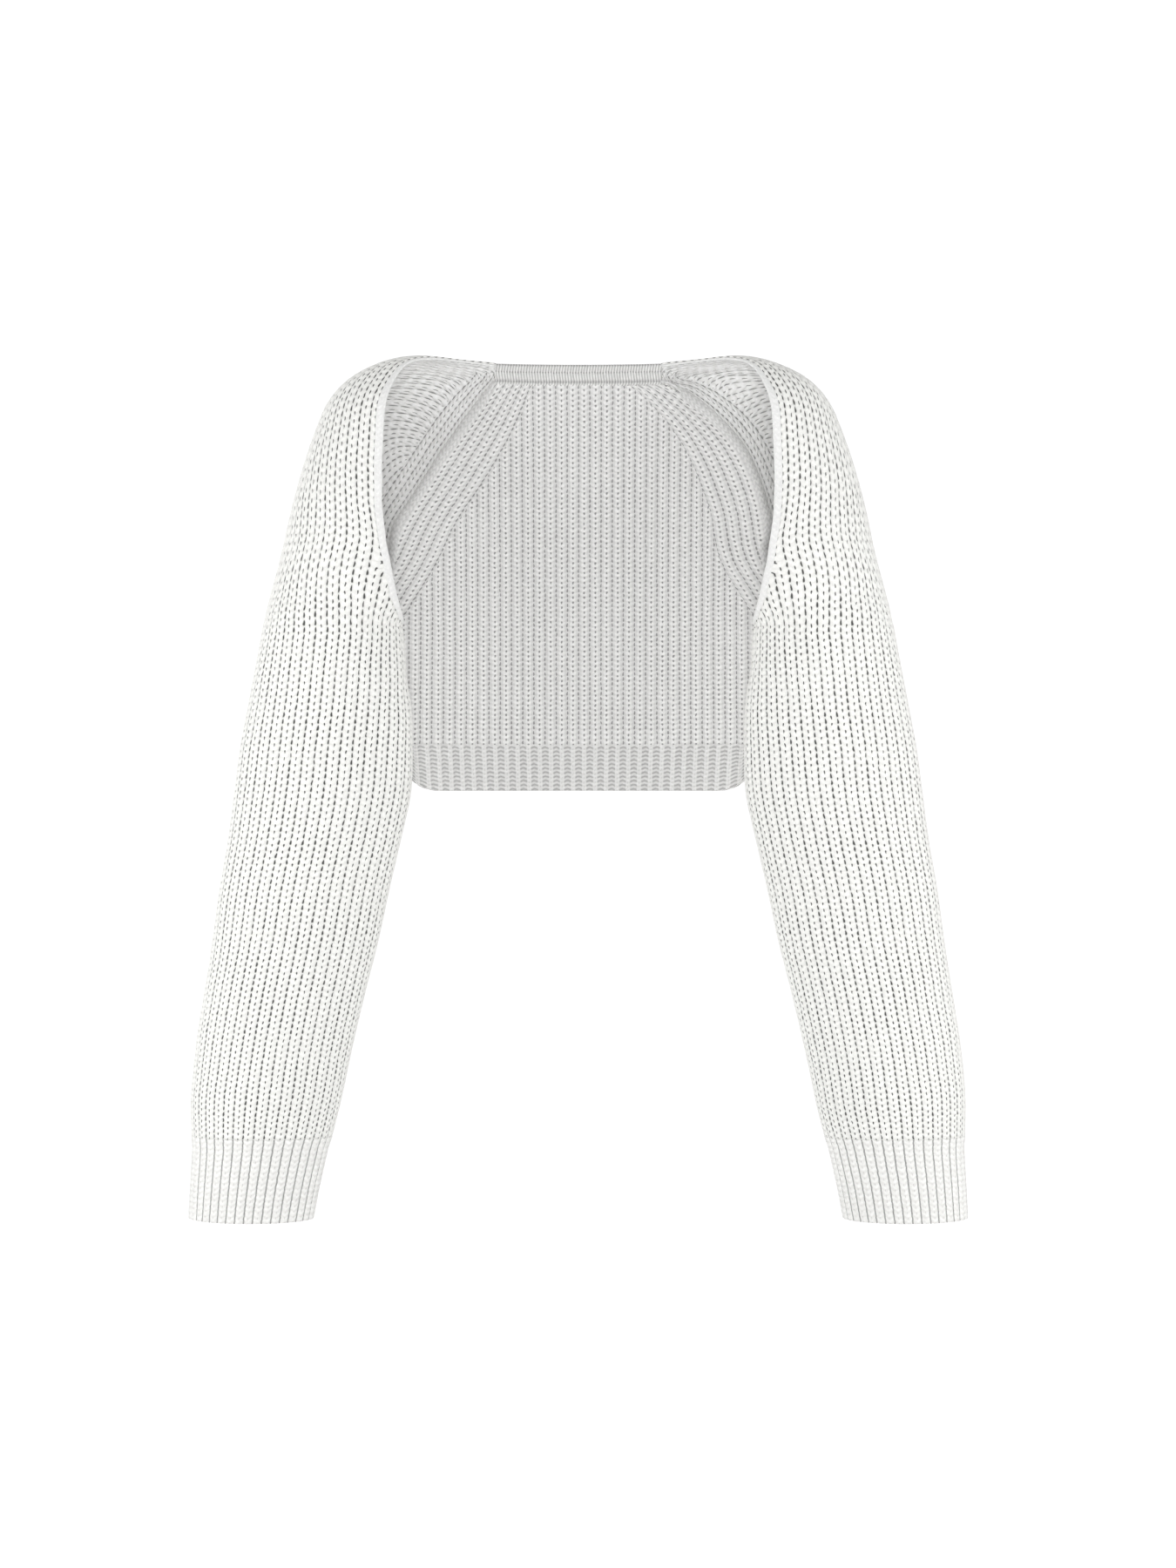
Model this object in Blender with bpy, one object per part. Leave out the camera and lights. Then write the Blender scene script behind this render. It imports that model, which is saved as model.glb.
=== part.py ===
"""Knitted shrug: a fisherman's-rib back with raglan sleeves and no fronts.

The garment keeps the hollow form it has when it is worn.  The origin is the
middle of the back neckband, +Z is up, the wearer faces -Y and the wearer's
left arm is on +X.  Sizes in the tables are millimetres; everything else is
in metres.
"""
import bpy
import bmesh
import math
import numpy as np

for old in list(bpy.data.objects):
    bpy.data.objects.remove(old, do_unlink=True)

MM = 0.001

# ---------------------------------------------------------------- main sizes
CLOTH_THICK = 2.2 * MM        # knitted wall between the ribs
RIB_RISE = 0.7 * MM           # how far a rib stands out of the wall
SEAM_GAP = 0.34 * MM          # room between two linked pieces
NECK_LIFT = 1.2 * MM          # rise of the second column below the neck, clear of the seam
RIB_PITCH = 9.2 * MM          # from one rib of the back to the next
SLEEVE_RIBS = 36              # ribs round a sleeve and its cuff
NECK_HALF = 66.0 * MM         # half the length of the neckband
NECK_WRAP = 9.0 * MM          # how far its ends come forward
NECK_TOP = 8.2 * MM
NECK_BOTTOM = -6.9 * MM
NECK_THICK = 3.4 * MM         # the band is folded double
HEM_TOP = -297.0 * MM
HEM_DROP = 37.6 * MM          # height of the hem band
HEM_CORNER = 26.0 * MM        # round corner at each end of the hem band
HEM_LIFT = 17.0 * MM          # how far the lower corner rises
CUFF_TOP = -607.0 * MM
CUFF_BOTTOM = -671.5 * MM
CUFF_DRAW = 1.0 * MM          # the cuff sits inside the line of the sleeve
CUFF_HALF_DEPTH = 35.0 * MM
CUFF_SAG = 1.5 * MM           # the cuff's edge hangs lower in the middle
NARROWEST = 0.6               # least step beside the border, in half ribs
BORDER_STEP = 5.2 * MM        # half a rib of the raglan border, level
RAGLAN_BOW = 25.0 * MM        # the wearer's left raglan is pulled out more
RAGLAN_DROP = 130.0 * MM      # height over which it bows
WRAP_REACH = 140.0 * MM       # half width at which side_wrap is measured
WRAP_POWER = 3.0              # flat upper back
WRAP_SOFTEN = 2.1             # rounder towards the hem, per metre of height
NECK_FADE = 25.0 * MM         # height over which the neck's curve dies out
ARMPIT_ANGLE = math.radians(134.5)    # the underarm seam, round the sleeve

# Outlines of the bands, as (across, out) from the seam they follow.  The
# front edge strip starts beside the sleeve and is rounded at its free edge;
# the seam ridge stands on the inside, clear of the ribs.
STRIP_OUTLINE = [(0.8, -1.2), (0.8, 1.3), (3.25, 1.8), (6.1, 1.2), (6.5, 0.0),
                 (6.1, -1.1), (3.25, -1.5)]
RIDGE_OUTLINE = [(-3.2, -2.15), (-2.4, -3.7), (0.0, -4.35), (2.4, -3.7), (3.2, -2.15)]


def table(names, rows):
    """Columns of a size table, by name."""
    columns = np.array(rows, dtype=float).T * MM
    return dict(zip(names.split(), columns))


# The back, from the hem up: how far its middle and its sides stand behind
# the neckband, and the half width of its free side edges under the arms.
BACK = table("height middle side_wrap", [
    (-336, 62, 55), (-297, 65, 52), (-250, 67, 45), (-205, 66, 38),
    (-150, 61, 33), (-110, 52, 28), (-75, 40, 23), (-45, 27, 20),
    (-22, 13, 18), (-7, 2.4, 16), (9, -1, 16)])
FREE_EDGE = table("height half_width", [
    (-336, 137), (-297.5, 139.5), (-272, 142), (-245, 145), (-222, 148),
    (-207, 151.5), (-198, 157.4)])
BORDER = table("height width", [
    (-205, 4), (-188, 16), (-166, 27), (-139, 38), (-112, 42), (-50, 41),
    (-7, 28)])

# The closed part of a sleeve, from the cuff's edge up to the armpit.
TUBE = table("height inner outer middle half_depth", [
    (-678, 211.5, 307, -50, 33), (-646, 205.5, 305.5, -48, 35),
    (-615, 198.5, 304, -46, 38), (-585, 191, 304.5, -44, 41),
    (-545, 182.5, 302, -42, 42), (-497, 171.5, 295.5, -39, 42),
    (-453, 160.5, 288.7, -36, 42), (-413, 152, 283.5, -33, 42),
    (-371, 142.5, 276.5, -30, 42), (-335, 135, 272, -28, 42),
    (-300, 134, 267.5, -26, 43), (-266, 135, 261.3, -24, 45),
    (-235, 138.5, 255.5, -22, 47.5), (-205, 141.5, 250, -21, 50)])

# The open part, from the armpit to the neck.  Each row is one section: where
# it starts on the raglan seam, its outermost point, where it ends on the
# front edge, and the ellipse it follows between.
CAP = table("seam_x seam_z outer_x outer_z edge_x edge_y edge_z middle "
            "half_width half_depth", [
    (158.0, -205, 250, -205, 158.0, 15, -205, -21, 54.2, 50),
    (157.6, -198, 248.3, -199, 147.6, 2, -204, -21, 53.5, 50.5),
    (156.5, -188, 246.5, -190, 141.8, -20, -202, -21, 53, 51),
    (154.9, -176, 243.8, -179, 143.4, -42, -195.5, -20, 53, 52),
    (153.0, -162, 240.3, -164, 148.5, -60, -180, -20, 52, 53),
    (150.0, -142, 234.5, -142, 154.0, -70, -153, -19, 52, 54),
    (146.3, -121, 228, -114, 159.2, -74, -119, -18, 52, 55),
    (134.5, -102, 219.8, -83, 160.2, -73, -85, -17, 54, 56),
    (122.0, -83, 209.5, -51, 159.3, -70, -55, -16, 57, 56),
    (110.6, -65, 198.5, -26, 157.6, -66, -32, -14, 62, 55),
    (98.0, -48, 181, -8, 152.0, -58, -15, -13, 66, 49),
    (87.0, -34, 157, 2.5, 139.5, -44, 3, -12, 65, 39),
    (77.5, -22, 130, 8, 121.0, -29, 9.5, -9, 45, 25),
    (70.5, -13, 101, 6.0, 93.0, -14, 8.6, -6, 24, 13),
    (66.2, -7.2, 66.6, 5.6, 66.4, -8.0, 6.4, -6.5, 6.5, 2.0)])
CAP_ROWS = 18                 # rows modelled over that table
TURN_ROW = 5                  # from here the ribs follow the front edge
BORDER_RIBS = 3               # ribs kept parallel to the raglan seam

# Where a row of the cap lies, as places in that table: on the raglan seam,
# and where it crosses the outside of the shoulder.
FAN_SEAM = [0, 4, 5, 6, 7, 8, 9, 10, 11, 12, 13, 14]
FAN_OUTSIDE = [0, 4.8, 5.9, 7.1, 8.3, 9.5, 10.7, 11.9, 12.8, 13.4, 13.8, 14]
FAN_REACH = 0.45              # share of the row over which it turns

# How wide and how thick the front edge strip is along its length.
STRIP_SIZES = [(0.0, 0.3, 0.6), (0.10, 0.4, 0.7), (0.24, 1.0, 1.0), (0.66, 1.0, 1.0),
               (0.80, 0.45, 0.8), (1.0, 0.3, 0.6)]


def smooth(place, stops, values):
    """Value at a place on a smooth curve through the table's stops."""
    slopes = np.gradient(values, stops)
    index = int(np.searchsorted(stops, place)) - 1
    index = min(max(index, 0), len(stops) - 2)
    span = stops[index + 1] - stops[index]
    f = min(max((place - stops[index]) / span, 0.0), 1.0)
    start = (1 + 2 * f) * (1 - f) ** 2 * values[index]
    end = f * f * (3 - 2 * f) * values[index + 1]
    leave = f * (1 - f) ** 2 * span * slopes[index]
    arrive = f * f * (f - 1) * span * slopes[index + 1]
    return start + end + leave + arrive


def column(sizes, name, place, stops="height"):
    return smooth(place, sizes[stops], sizes[name])


def back_depth(x, z):
    """How far behind the neckband the back stands at one place."""
    power = WRAP_POWER + WRAP_SOFTEN * z
    wrap = column(BACK, "side_wrap", z) * (abs(x) / WRAP_REACH) ** power
    neck = NECK_WRAP * (x / NECK_HALF) ** 2 * math.exp(z / NECK_FADE)
    return column(BACK, "middle", z) - wrap - neck


def raglan_x(side, x, z):
    """Half width of the back at the raglan seam."""
    down = min(max((CAP["seam_z"][-1] - z) / RAGLAN_DROP, 0.0), 1.0)
    bow = RAGLAN_BOW if side > 0 else 0.0
    return x + bow * math.sin(math.pi * down ** 0.7)


# ------------------------------------------------------------ sleeve sections
def cap_value(name, place):
    return smooth(place, np.arange(len(CAP[name])), CAP[name])


def run_of(points):
    """Distance along a line of points."""
    steps = np.linalg.norm(np.diff(points, axis=0), axis=1)
    return np.concatenate([[0.0], np.cumsum(steps)])


def at(points, wanted):
    """Points at the wanted distances along a line."""
    run = run_of(points)
    parts = [np.interp(wanted, run, points[:, axis]) for axis in range(3)]
    return np.stack(parts, axis=1)


def even(points, steps):
    """The same curve, cut into equal steps."""
    return at(points, np.linspace(0.0, run_of(points)[-1], steps + 1))


def ring_arc(centre, outward, half_width, half_depth, start, end):
    """Part of an ellipse whose axes are the outward direction and Y."""
    turn = np.linspace(start, end, 181)[:, None]
    depth = np.array([0.0, 1.0, 0.0])
    return centre + np.cos(turn) * half_width * outward + np.sin(turn) * half_depth * depth


def tube_section(side, z):
    """Closed ring of the sleeve at one height, from the underarm seam round."""
    inner = column(TUBE, "inner", z)
    outer = column(TUBE, "outer", z)
    middle = column(TUBE, "middle", z)
    centre = np.array([side * (inner + outer) / 2, middle, z])
    outward = np.array([side, 0.0, 0.0])
    half_depth = column(TUBE, "half_depth", z)
    end = ARMPIT_ANGLE - 2 * math.pi
    return ring_arc(centre, outward, (outer - inner) / 2, half_depth, ARMPIT_ANGLE, end)


def cap_section(side, place):
    """Open section of the sleeve, from the raglan seam to the front edge."""
    row = {name: cap_value(name, place) for name in CAP}
    seam_x = raglan_x(side, row["seam_x"], row["seam_z"])
    seam = np.array([side * seam_x, back_depth(seam_x, row["seam_z"]), row["seam_z"]])
    edge = np.array([side * row["edge_x"], row["edge_y"], row["edge_z"]])
    if place == 0:
        edge = seam.copy()
    top = np.array([side * row["outer_x"], row["middle"], row["outer_z"]])
    outward = top - (seam + edge) / 2
    outward[1] = 0.0
    outward /= np.linalg.norm(outward)
    centre = top - row["half_width"] * outward
    angles = []
    for point in (seam, edge):
        across = (point - centre) @ outward / row["half_width"]
        deep = (point - centre)[1] / row["half_depth"]
        angles.append(math.atan2(deep, across))
    while angles[1] > angles[0] - 0.1:
        angles[1] -= 2 * math.pi
    arc = ring_arc(centre, outward, row["half_width"], row["half_depth"], *angles)
    along = np.linspace(0.0, 1.0, len(arc))[:, None]
    arc = arc + (seam - arc[0]) * (1 - along) ** 3
    return arc + (edge - arc[-1]) * along ** 3


def cap_grid(side):
    """Grid of points over the cap, by place and by share of the section."""
    grid = []
    for place in GRID_PLACES:
        grid.append(even(cap_section(side, place), len(SHARES) - 1))
    return np.array(grid)


def row_places(grid, place):
    """Place of each point of the row that starts at a place on the seam."""
    seam = run_of(grid[:, 0])
    edge = run_of(grid[:, -1])
    share = np.interp(place, GRID_PLACES, seam) / seam[-1]
    on_edge = np.interp(share * edge[-1], edge, GRID_PLACES)
    outside = np.interp(place, FAN_SEAM, FAN_OUTSIDE)
    turn = np.sin(np.clip(SHARES / FAN_REACH, 0, 1) * math.pi / 2)
    far = np.clip((SHARES - FAN_REACH) / (1 - FAN_REACH), 0, 1)
    far = far * far * (3 - 2 * far)
    return on_edge, place + (outside - place) * turn + (on_edge - outside) * far


def cap_row(grid, place):
    """Where the row ends on the edge, and its points over the shoulder."""
    on_edge, wanted = row_places(grid, place)
    index = np.clip(np.searchsorted(GRID_PLACES, wanted) - 1, 0, len(GRID_PLACES) - 2)
    part = ((wanted - GRID_PLACES[index]) / (GRID_PLACES[1] - GRID_PLACES[0]))[:, None]
    span = np.arange(len(SHARES))
    return on_edge, grid[index, span] * (1 - part) + grid[index + 1, span] * part


# ------------------------------------------------------------- walls of cloth
class Sheet:
    """Middle surface of a knitted piece: rows of (column number, point)."""

    def __init__(self):
        self.points = []
        self.ribs = []
        self.rows = []

    def add_row(self, keys, points, ribs, closed=False):
        first = len(self.points)
        row = [(key, first + i) for i, key in enumerate(keys)]
        self.points.extend(np.array(point) for point in points)
        self.ribs.extend(ribs)
        if closed:
            row.append((keys[-1] + 1, first))
        self.rows.append(row)

    def normals(self):
        points = np.array(self.points)
        total = np.zeros_like(points)
        for low, high in zip(self.rows, self.rows[1:]):
            for face in stitch(low, high, points):
                corner = points[list(face)]
                flat = np.cross(corner[2] - corner[0], corner[-1] - corner[1])
                if len(face) == 3:
                    flat = np.cross(corner[1] - corner[0], corner[2] - corner[0])
                for point in face:
                    total[point] += flat
        return total / np.linalg.norm(total, axis=1)[:, None]


def stitch(low, high, points):
    """Faces between two rows, joining equal column numbers."""
    low_keys = [key for key, point in low]
    high_keys = [key for key, point in high]
    shared = [key for key in low_keys if key in set(high_keys)]
    stops = [(0, 0)]
    stops += [(low_keys.index(key), high_keys.index(key)) for key in shared]
    stops.append((len(low) - 1, len(high) - 1))
    faces = []
    for (i, j), (i_end, j_end) in zip(stops, stops[1:]):
        if i_end - i == 1 and j_end - j == 1:
            faces.append((low[i][1], low[i_end][1], high[j_end][1], high[j][1]))
            continue
        while i < i_end or j < j_end:
            here, there = low[i][1], high[j][1]
            step_low = j == j_end
            if i < i_end and j < j_end:
                low_way = np.linalg.norm(points[low[i + 1][1]] - points[there])
                high_way = np.linalg.norm(points[high[j + 1][1]] - points[here])
                step_low = low_way < high_way
            if step_low:
                i += 1
                faces.append((here, low[i][1], there))
            else:
                j += 1
                faces.append((here, high[j][1], there))
    return faces


def wall(name, sheet, normals, thick, ribs_inside, finish):
    """Closed solid: the sheet moved out by half a wall, and in by half."""
    points = np.array(sheet.points)
    ribs = np.array(sheet.ribs)[:, None]
    outer = points + normals * (thick / 2 + ribs * RIB_RISE)
    inner = points - normals * (thick / 2 + ribs * RIB_RISE * ribs_inside)
    count = len(points)
    both = np.concatenate([outer, inner])
    inner_rows = []
    for row in sheet.rows:
        kept = row
        if not ribs_inside:
            last = len(row) - 1
            kept = [pair for i, pair in enumerate(row) if pair[0] % 2 == 0 or i in (0, last)]
        inner_rows.append([(key, point + count) for key, point in kept])
    faces = []
    for low, high in zip(sheet.rows, sheet.rows[1:]):
        faces += stitch(low, high, both)
    for low, high in zip(inner_rows, inner_rows[1:]):
        faces += [face[::-1] for face in stitch(low, high, both)]
    faces += stitch(inner_rows[0], sheet.rows[0], both)
    faces += [face[::-1] for face in stitch(inner_rows[-1], sheet.rows[-1], both)]
    for low, high in zip(sheet.rows, sheet.rows[1:]):
        for end in (0, -1):
            pair = (low[end][1], high[end][1])
            if low[0][1] != low[-1][1] or high[0][1] != high[-1][1]:
                faces.append((pair[0], pair[1], pair[1] + count, pair[0] + count))
    return solid(name, both, faces, finish)


def solid(name, points, faces, finish):
    """Closed object out of a face list, facing outwards, in triangles."""
    mesh = bpy.data.meshes.new(name)
    mesh.from_pydata([tuple(point) for point in points], [], faces)
    form = bmesh.new()
    form.from_mesh(mesh)
    loose = [vert for vert in form.verts if not vert.link_faces]
    bmesh.ops.delete(form, geom=loose, context="VERTS")
    bmesh.ops.recalc_face_normals(form, faces=form.faces)
    bmesh.ops.triangulate(form, faces=form.faces, quad_method="SHORT_EDGE")
    form.to_mesh(mesh)
    form.free()
    mesh.materials.append(finish)
    made = bpy.data.objects.new(name, mesh)
    collection.objects.link(made)
    return made


def loft(name, rings, finish):
    """Solid through closed rings of the same number of points."""
    count = len(rings[0])
    points = np.concatenate(rings)
    faces = [tuple(range(count)), tuple(range(len(points) - count, len(points)))]
    for ring in range(len(rings) - 1):
        for i in range(count):
            here = ring * count + i
            beside = ring * count + (i + 1) % count
            faces.append((here, beside, beside + count, here + count))
    return solid(name, points, faces, finish)


def knit(name, colour, roughness):
    """Matt yarn of one colour."""
    material = bpy.data.materials.new(name)
    material.use_nodes = True
    shader = material.node_tree.nodes["Principled BSDF"]
    shader.inputs["Base Color"].default_value = (*colour, 1.0)
    shader.inputs["Roughness"].default_value = roughness
    return material


# ------------------------------------------------------------------ the piece
collection = bpy.data.collections.new("knitted_shrug")
bpy.context.scene.collection.children.link(collection)

PLACES = np.linspace(0.0, len(CAP["seam_z"]) - 1.0, CAP_ROWS + 1)
SEAM_LEVELS = [cap_value("seam_z", place) for place in PLACES]
HALF_RIBS = 2 * SLEEVE_RIBS
GRID_PLACES = np.linspace(0.0, len(CAP["seam_z"]) - 1.0, 141)
SHARES = np.linspace(0.0, 1.0, 121)


def sleeve_sheet(side):
    """Sleeve from the cuff up: closed rings, then open sections."""
    sheet = Sheet()
    keys = list(range(HALF_RIBS))
    ribs = [1.0 - key % 2 for key in keys]
    levels = np.linspace(CUFF_TOP, CAP["seam_z"][0], 10)[:-1]
    for z in levels:
        ring = even(tube_section(side, z), HALF_RIBS)
        sheet.add_row(keys, ring[:-1], ribs, closed=True)
    armpit = even(cap_section(side, 0), HALF_RIBS)
    step = run_of(armpit)[-1] / HALF_RIBS
    sheet.add_row(keys, armpit[:-1], ribs, closed=True)
    last = HALF_RIBS
    grid = cap_grid(side)
    for place in PLACES[1:]:
        on_edge, row = cap_row(grid, place)
        whole = run_of(row)[-1]
        if on_edge <= TURN_ROW:
            last = min(last, round(whole / step))
            keys = np.arange(last + 1)
            wanted = whole * keys / last
        else:
            border = int(min(2 * BORDER_RIBS, whole / step / 2))
            kept = int(max(0, whole / step - border - NARROWEST))
            side_keys = np.arange(border + 1)
            edge_keys = last - np.arange(kept, -1, -1)
            fits = edge_keys > border
            keys = np.concatenate([side_keys, edge_keys[fits]])
            wanted = np.concatenate([side_keys, whole / step - last + edge_keys[fits]]) * step
        ribs = [1.0 - key % 2 for key in keys]
        sheet.add_row(keys.tolist(), at(row, wanted), ribs)
    return sheet


def back_row(z, left, right, border):
    """One level of the back: upright ribs between two raglan borders."""
    half = RIB_PITCH / 2
    keys, places = [], []
    count = max(0, round(border / BORDER_STEP))
    limits = []
    for side, edge in ((-1, left), (1, right)):
        line = edge - border
        limits.append(line)
        for i in range(count + 1):
            keys.append(side * (1000 - i))
            places.append(side * (edge - border * i / max(count, 1)))
    room = NARROWEST * half
    most = int(max(limits) / half) + 1
    for j in range(-most, most + 1):
        if -limits[0] + room < j * half < limits[1] - room:
            keys.append(j)
            places.append(j * half)
    order = np.argsort(places)
    return [keys[i] for i in order], [places[i] for i in order]


def back_sheet():
    """The back between its raglan seams, down to the hem band."""
    sheet = Sheet()
    first = int(np.searchsorted(SEAM_LEVELS, CAP["seam_z"][1] - 3 * MM))
    low_levels = list(np.linspace(HEM_TOP + SEAM_GAP, -225 * MM, 3)) + [-208 * MM]
    for z in low_levels + SEAM_LEVELS[first:]:
        edges = []
        for side in (-1, 1):
            if z < SEAM_LEVELS[first]:
                edges.append(column(FREE_EDGE, "half_width", z))
            else:
                place = PLACES[SEAM_LEVELS.index(z)]
                edges.append(raglan_x(side, cap_value("seam_x", place), z))
        border = column(BORDER, "width", z) if z > BORDER["height"][0] else 0.0
        keys, places = back_row(z, edges[0], edges[1], border)
        points = [(x, back_depth(x, z), z) for x in places]
        ribs = [1.0 - key % 2 for key in keys]
        sheet.add_row(keys, points, ribs)
    return sheet, first


def hem_sheet():
    """Hem band, its lower corners rounded and lifted."""
    sheet = Sheet()
    half = RIB_PITCH / 2
    count = int(column(FREE_EDGE, "half_width", HEM_TOP) / half)
    for down in (1.0, 0.85, 0.5, 0.0):
        points, keys, ribs = [], [], []
        for j in range(-count, count + 1):
            x = j * half
            z = HEM_TOP - down * HEM_DROP
            narrow = column(FREE_EDGE, "half_width", z) / column(FREE_EDGE, "half_width", HEM_TOP)
            x *= narrow
            near = max(0.0, abs(x) - (count * half * narrow - HEM_CORNER)) / HEM_CORNER
            lift = HEM_LIFT * (1 - math.sqrt(max(0.0, 1 - min(near, 1.0) ** 2)))
            z += down * lift
            points.append((x, back_depth(x, z), z))
            keys.append(j)
            ribs.append(1.0 - j % 2)
        sheet.add_row(keys, points, ribs)
    return sheet


def cuff_sheet(side):
    """Cuff: the sleeve's ribs drawn in."""
    sheet = Sheet()
    keys = list(range(HALF_RIBS))
    ribs = [1.0 - key % 2 for key in keys]
    for down in (1.0, 0.1, 0.0):
        z = CUFF_TOP - SEAM_GAP + down * (CUFF_BOTTOM - CUFF_TOP)
        draw_in = CUFF_DRAW if down > 0 else 0.2 * CUFF_DRAW
        ring = even(tube_section(side, z), HALF_RIBS)[:-1]
        centre = ring.mean(axis=0)
        away = ring - centre
        reach = np.linalg.norm(away, axis=1)[:, None]
        ring = centre + away * (1 - draw_in / reach)
        front = np.clip(-away[:, 1] / CUFF_HALF_DEPTH, 0, 1)
        ring[:, 2] -= CUFF_SAG * front * down
        sheet.add_row(keys, ring, ribs, closed=True)
    return sheet


def unit(vector):
    return vector / np.linalg.norm(vector)


def level_out(normals, row):
    """Turn a row's normals level, so that the wall's edge there is flat."""
    for key, point in row:
        normals[point][2] = 0.0
        normals[point] = unit(normals[point])


def face_back(normals, row):
    """Turn a row's normals along the section, clear of the neckband's end."""
    for key, point in row:
        normals[point][0] = 0.0
        normals[point] = unit(normals[point])


def seam_frames(points, normals):
    """At each point: along the seam, square to the cloth, and across."""
    along = np.gradient(points, axis=0)
    frames = []
    for i, point in enumerate(points):
        lift = unit(normals[i])
        run = unit(along[i] - lift * (along[i] @ lift))
        frames.append((point, lift, np.cross(run, lift)))
    return frames


def ribbon(name, frames, profile, finish, sizes=((0, 1, 1), (1, 1, 1))):
    """Band laid along a seam; its profile is (across, out) pairs."""
    rings = []
    shares, widths, heights = zip(*sizes)
    first = profile[0][0]
    for place, (point, lift, across) in enumerate(frames):
        share = place / (len(frames) - 1)
        width = np.interp(share, shares, widths)
        high = np.interp(share, shares, heights)
        ring = []
        for a, o in profile:
            ring.append(point + (first + (a - first) * width) * MM * across + o * high * MM * lift)
        rings.append(np.array(ring))
    return loft(name, rings, finish)


CREAM = knit("cream_rib_knit", (0.82, 0.82, 0.80), 0.92)
SHADE = knit("back_rib_knit", (0.80, 0.80, 0.79), 0.92)
BAND = knit("neckband_knit", (0.81, 0.81, 0.80), 0.90)
HEM = knit("hem_band_knit", (0.79, 0.79, 0.78), 0.92)
CUFF = knit("cuff_knit", (0.82, 0.82, 0.79), 0.92)
STRIP = knit("slipped_edge_knit", (0.84, 0.84, 0.82), 0.88)
RIDGE = knit("linked_seam_yarn", (0.80, 0.80, 0.79), 0.92)

back, first_level = back_sheet()
back_normals = back.normals()
level_out(back_normals, back.rows[0])
level_out(back_normals, back.rows[-1])
seam_levels = SEAM_LEVELS[first_level:]
low_rows = len(back.rows) - len(seam_levels)

for side, hand in ((-1, "right"), (1, "left")):
    sleeve = sleeve_sheet(side)
    normals = sleeve.normals()
    normals *= np.sign(normals[0] @ (sleeve.points[0] - sleeve.points[HALF_RIBS // 2]))
    level_out(normals, sleeve.rows[0])
    face_back(normals, sleeve.rows[-1])
    open_rows = sleeve.rows[-CAP_ROWS:]
    seam_points = []
    seam_lifts = []
    for offset, row in enumerate(back.rows[low_rows:]):
        back_point = row[0 if side < 0 else -1][1]
        cap_point = open_rows[first_level - 1 + offset][0][1]
        facing = back_normals[back_point]
        if facing[1] < 0:
            facing = -facing
        lift = facing + normals[cap_point]
        if offset == len(seam_levels) - 1:
            lift[0] = 0.0
            lift[2] = 0.0
        lift = unit(lift)
        back_normals[back_point] = lift * np.sign(back_normals[back_point] @ lift)
        normals[cap_point] = lift
        seam_points.append(sleeve.points[cap_point].copy())
        seam_lifts.append(lift)
    frames = seam_frames(np.array(seam_points), np.array(seam_lifts))
    for offset, (point, lift, across) in enumerate(frames):
        outwards = across * np.sign(across[0] * side)
        back_point = back.rows[low_rows + offset][0 if side < 0 else -1][1]
        cap_point = open_rows[first_level - 1 + offset][0][1]
        back.points[back_point] = point - outwards * SEAM_GAP / 2
        sleeve.points[cap_point] = point + outwards * SEAM_GAP / 2
    sleeve.points[open_rows[-2][1][1]][2] += NECK_LIFT
    wall("sleeve_" + hand, sleeve, normals, CLOTH_THICK, 0, CREAM)

    cuff = cuff_sheet(side)
    turned = cuff.normals()
    turned *= np.sign(turned[0] @ (cuff.points[0] - cuff.points[HALF_RIBS // 2]))
    level_out(turned, cuff.rows[-1])
    wall("cuff_" + hand, cuff, turned, CLOTH_THICK, 0, CUFF)

    edge_ids = [row[-1][1] for row in open_rows]
    edge_points = np.array([sleeve.points[i] for i in edge_ids])
    edge_frames = seam_frames(edge_points, np.array([normals[i] for i in edge_ids]))
    inwards = 0.0
    for (point, lift, across), row in zip(edge_frames, open_rows):
        near = sleeve.points[row[-3][1] if len(row) > 3 else row[0][1]]
        inwards += across @ (near - point)
    away = []
    for (point, lift, across), row in zip(edge_frames, open_rows):
        across = -np.sign(inwards) * across
        if row is open_rows[-1]:
            across = unit(across * np.array([0.0, 1.0, 1.0]))
        away.append((point, lift, across))
    ribbon("front_edge_" + hand, away, STRIP_OUTLINE, STRIP, STRIP_SIZES)
    ribbon("raglan_seam_" + hand, frames[:-1], RIDGE_OUTLINE, RIDGE)

back_normals *= np.where(back_normals[:, 1:2] < 0, -1.0, 1.0)
wall("back_panel", back, back_normals, CLOTH_THICK, 1, SHADE)

hem = hem_sheet()
hem_normals = hem.normals()
hem_normals *= np.where(hem_normals[:, 1:2] < 0, -1.0, 1.0)
level_out(hem_normals, hem.rows[-1])
wall("hem_band", hem, hem_normals, CLOTH_THICK + 0.2 * MM, 1, HEM)

half_thick = NECK_THICK / 2
band_rings = []
for x in np.linspace(-NECK_HALF + SEAM_GAP, NECK_HALF - SEAM_GAP, 21):
    y = back_depth(x, NECK_BOTTOM)
    outline = [(-half_thick, NECK_BOTTOM), (-half_thick, NECK_TOP - 1.2 * MM),
               (0.0, NECK_TOP), (half_thick, NECK_TOP - 1.2 * MM), (half_thick, NECK_BOTTOM)]
    band_rings.append(np.array([(x, y + across, z) for across, z in outline]))
loft("neckband", band_rings, BAND)
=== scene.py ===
# %% [markdown]
# # A knitted shrug
# A shrug is a back and two sleeves with no fronts. This one is machine
# knitted in fisherman's rib: a back panel with a rib hem, two raglan sleeves
# that run from the neck to a rib cuff, and a narrow smooth neckband. The
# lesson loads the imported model, and then knits each piece over it.

# %% The frame
import math
from functools import partial

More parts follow.
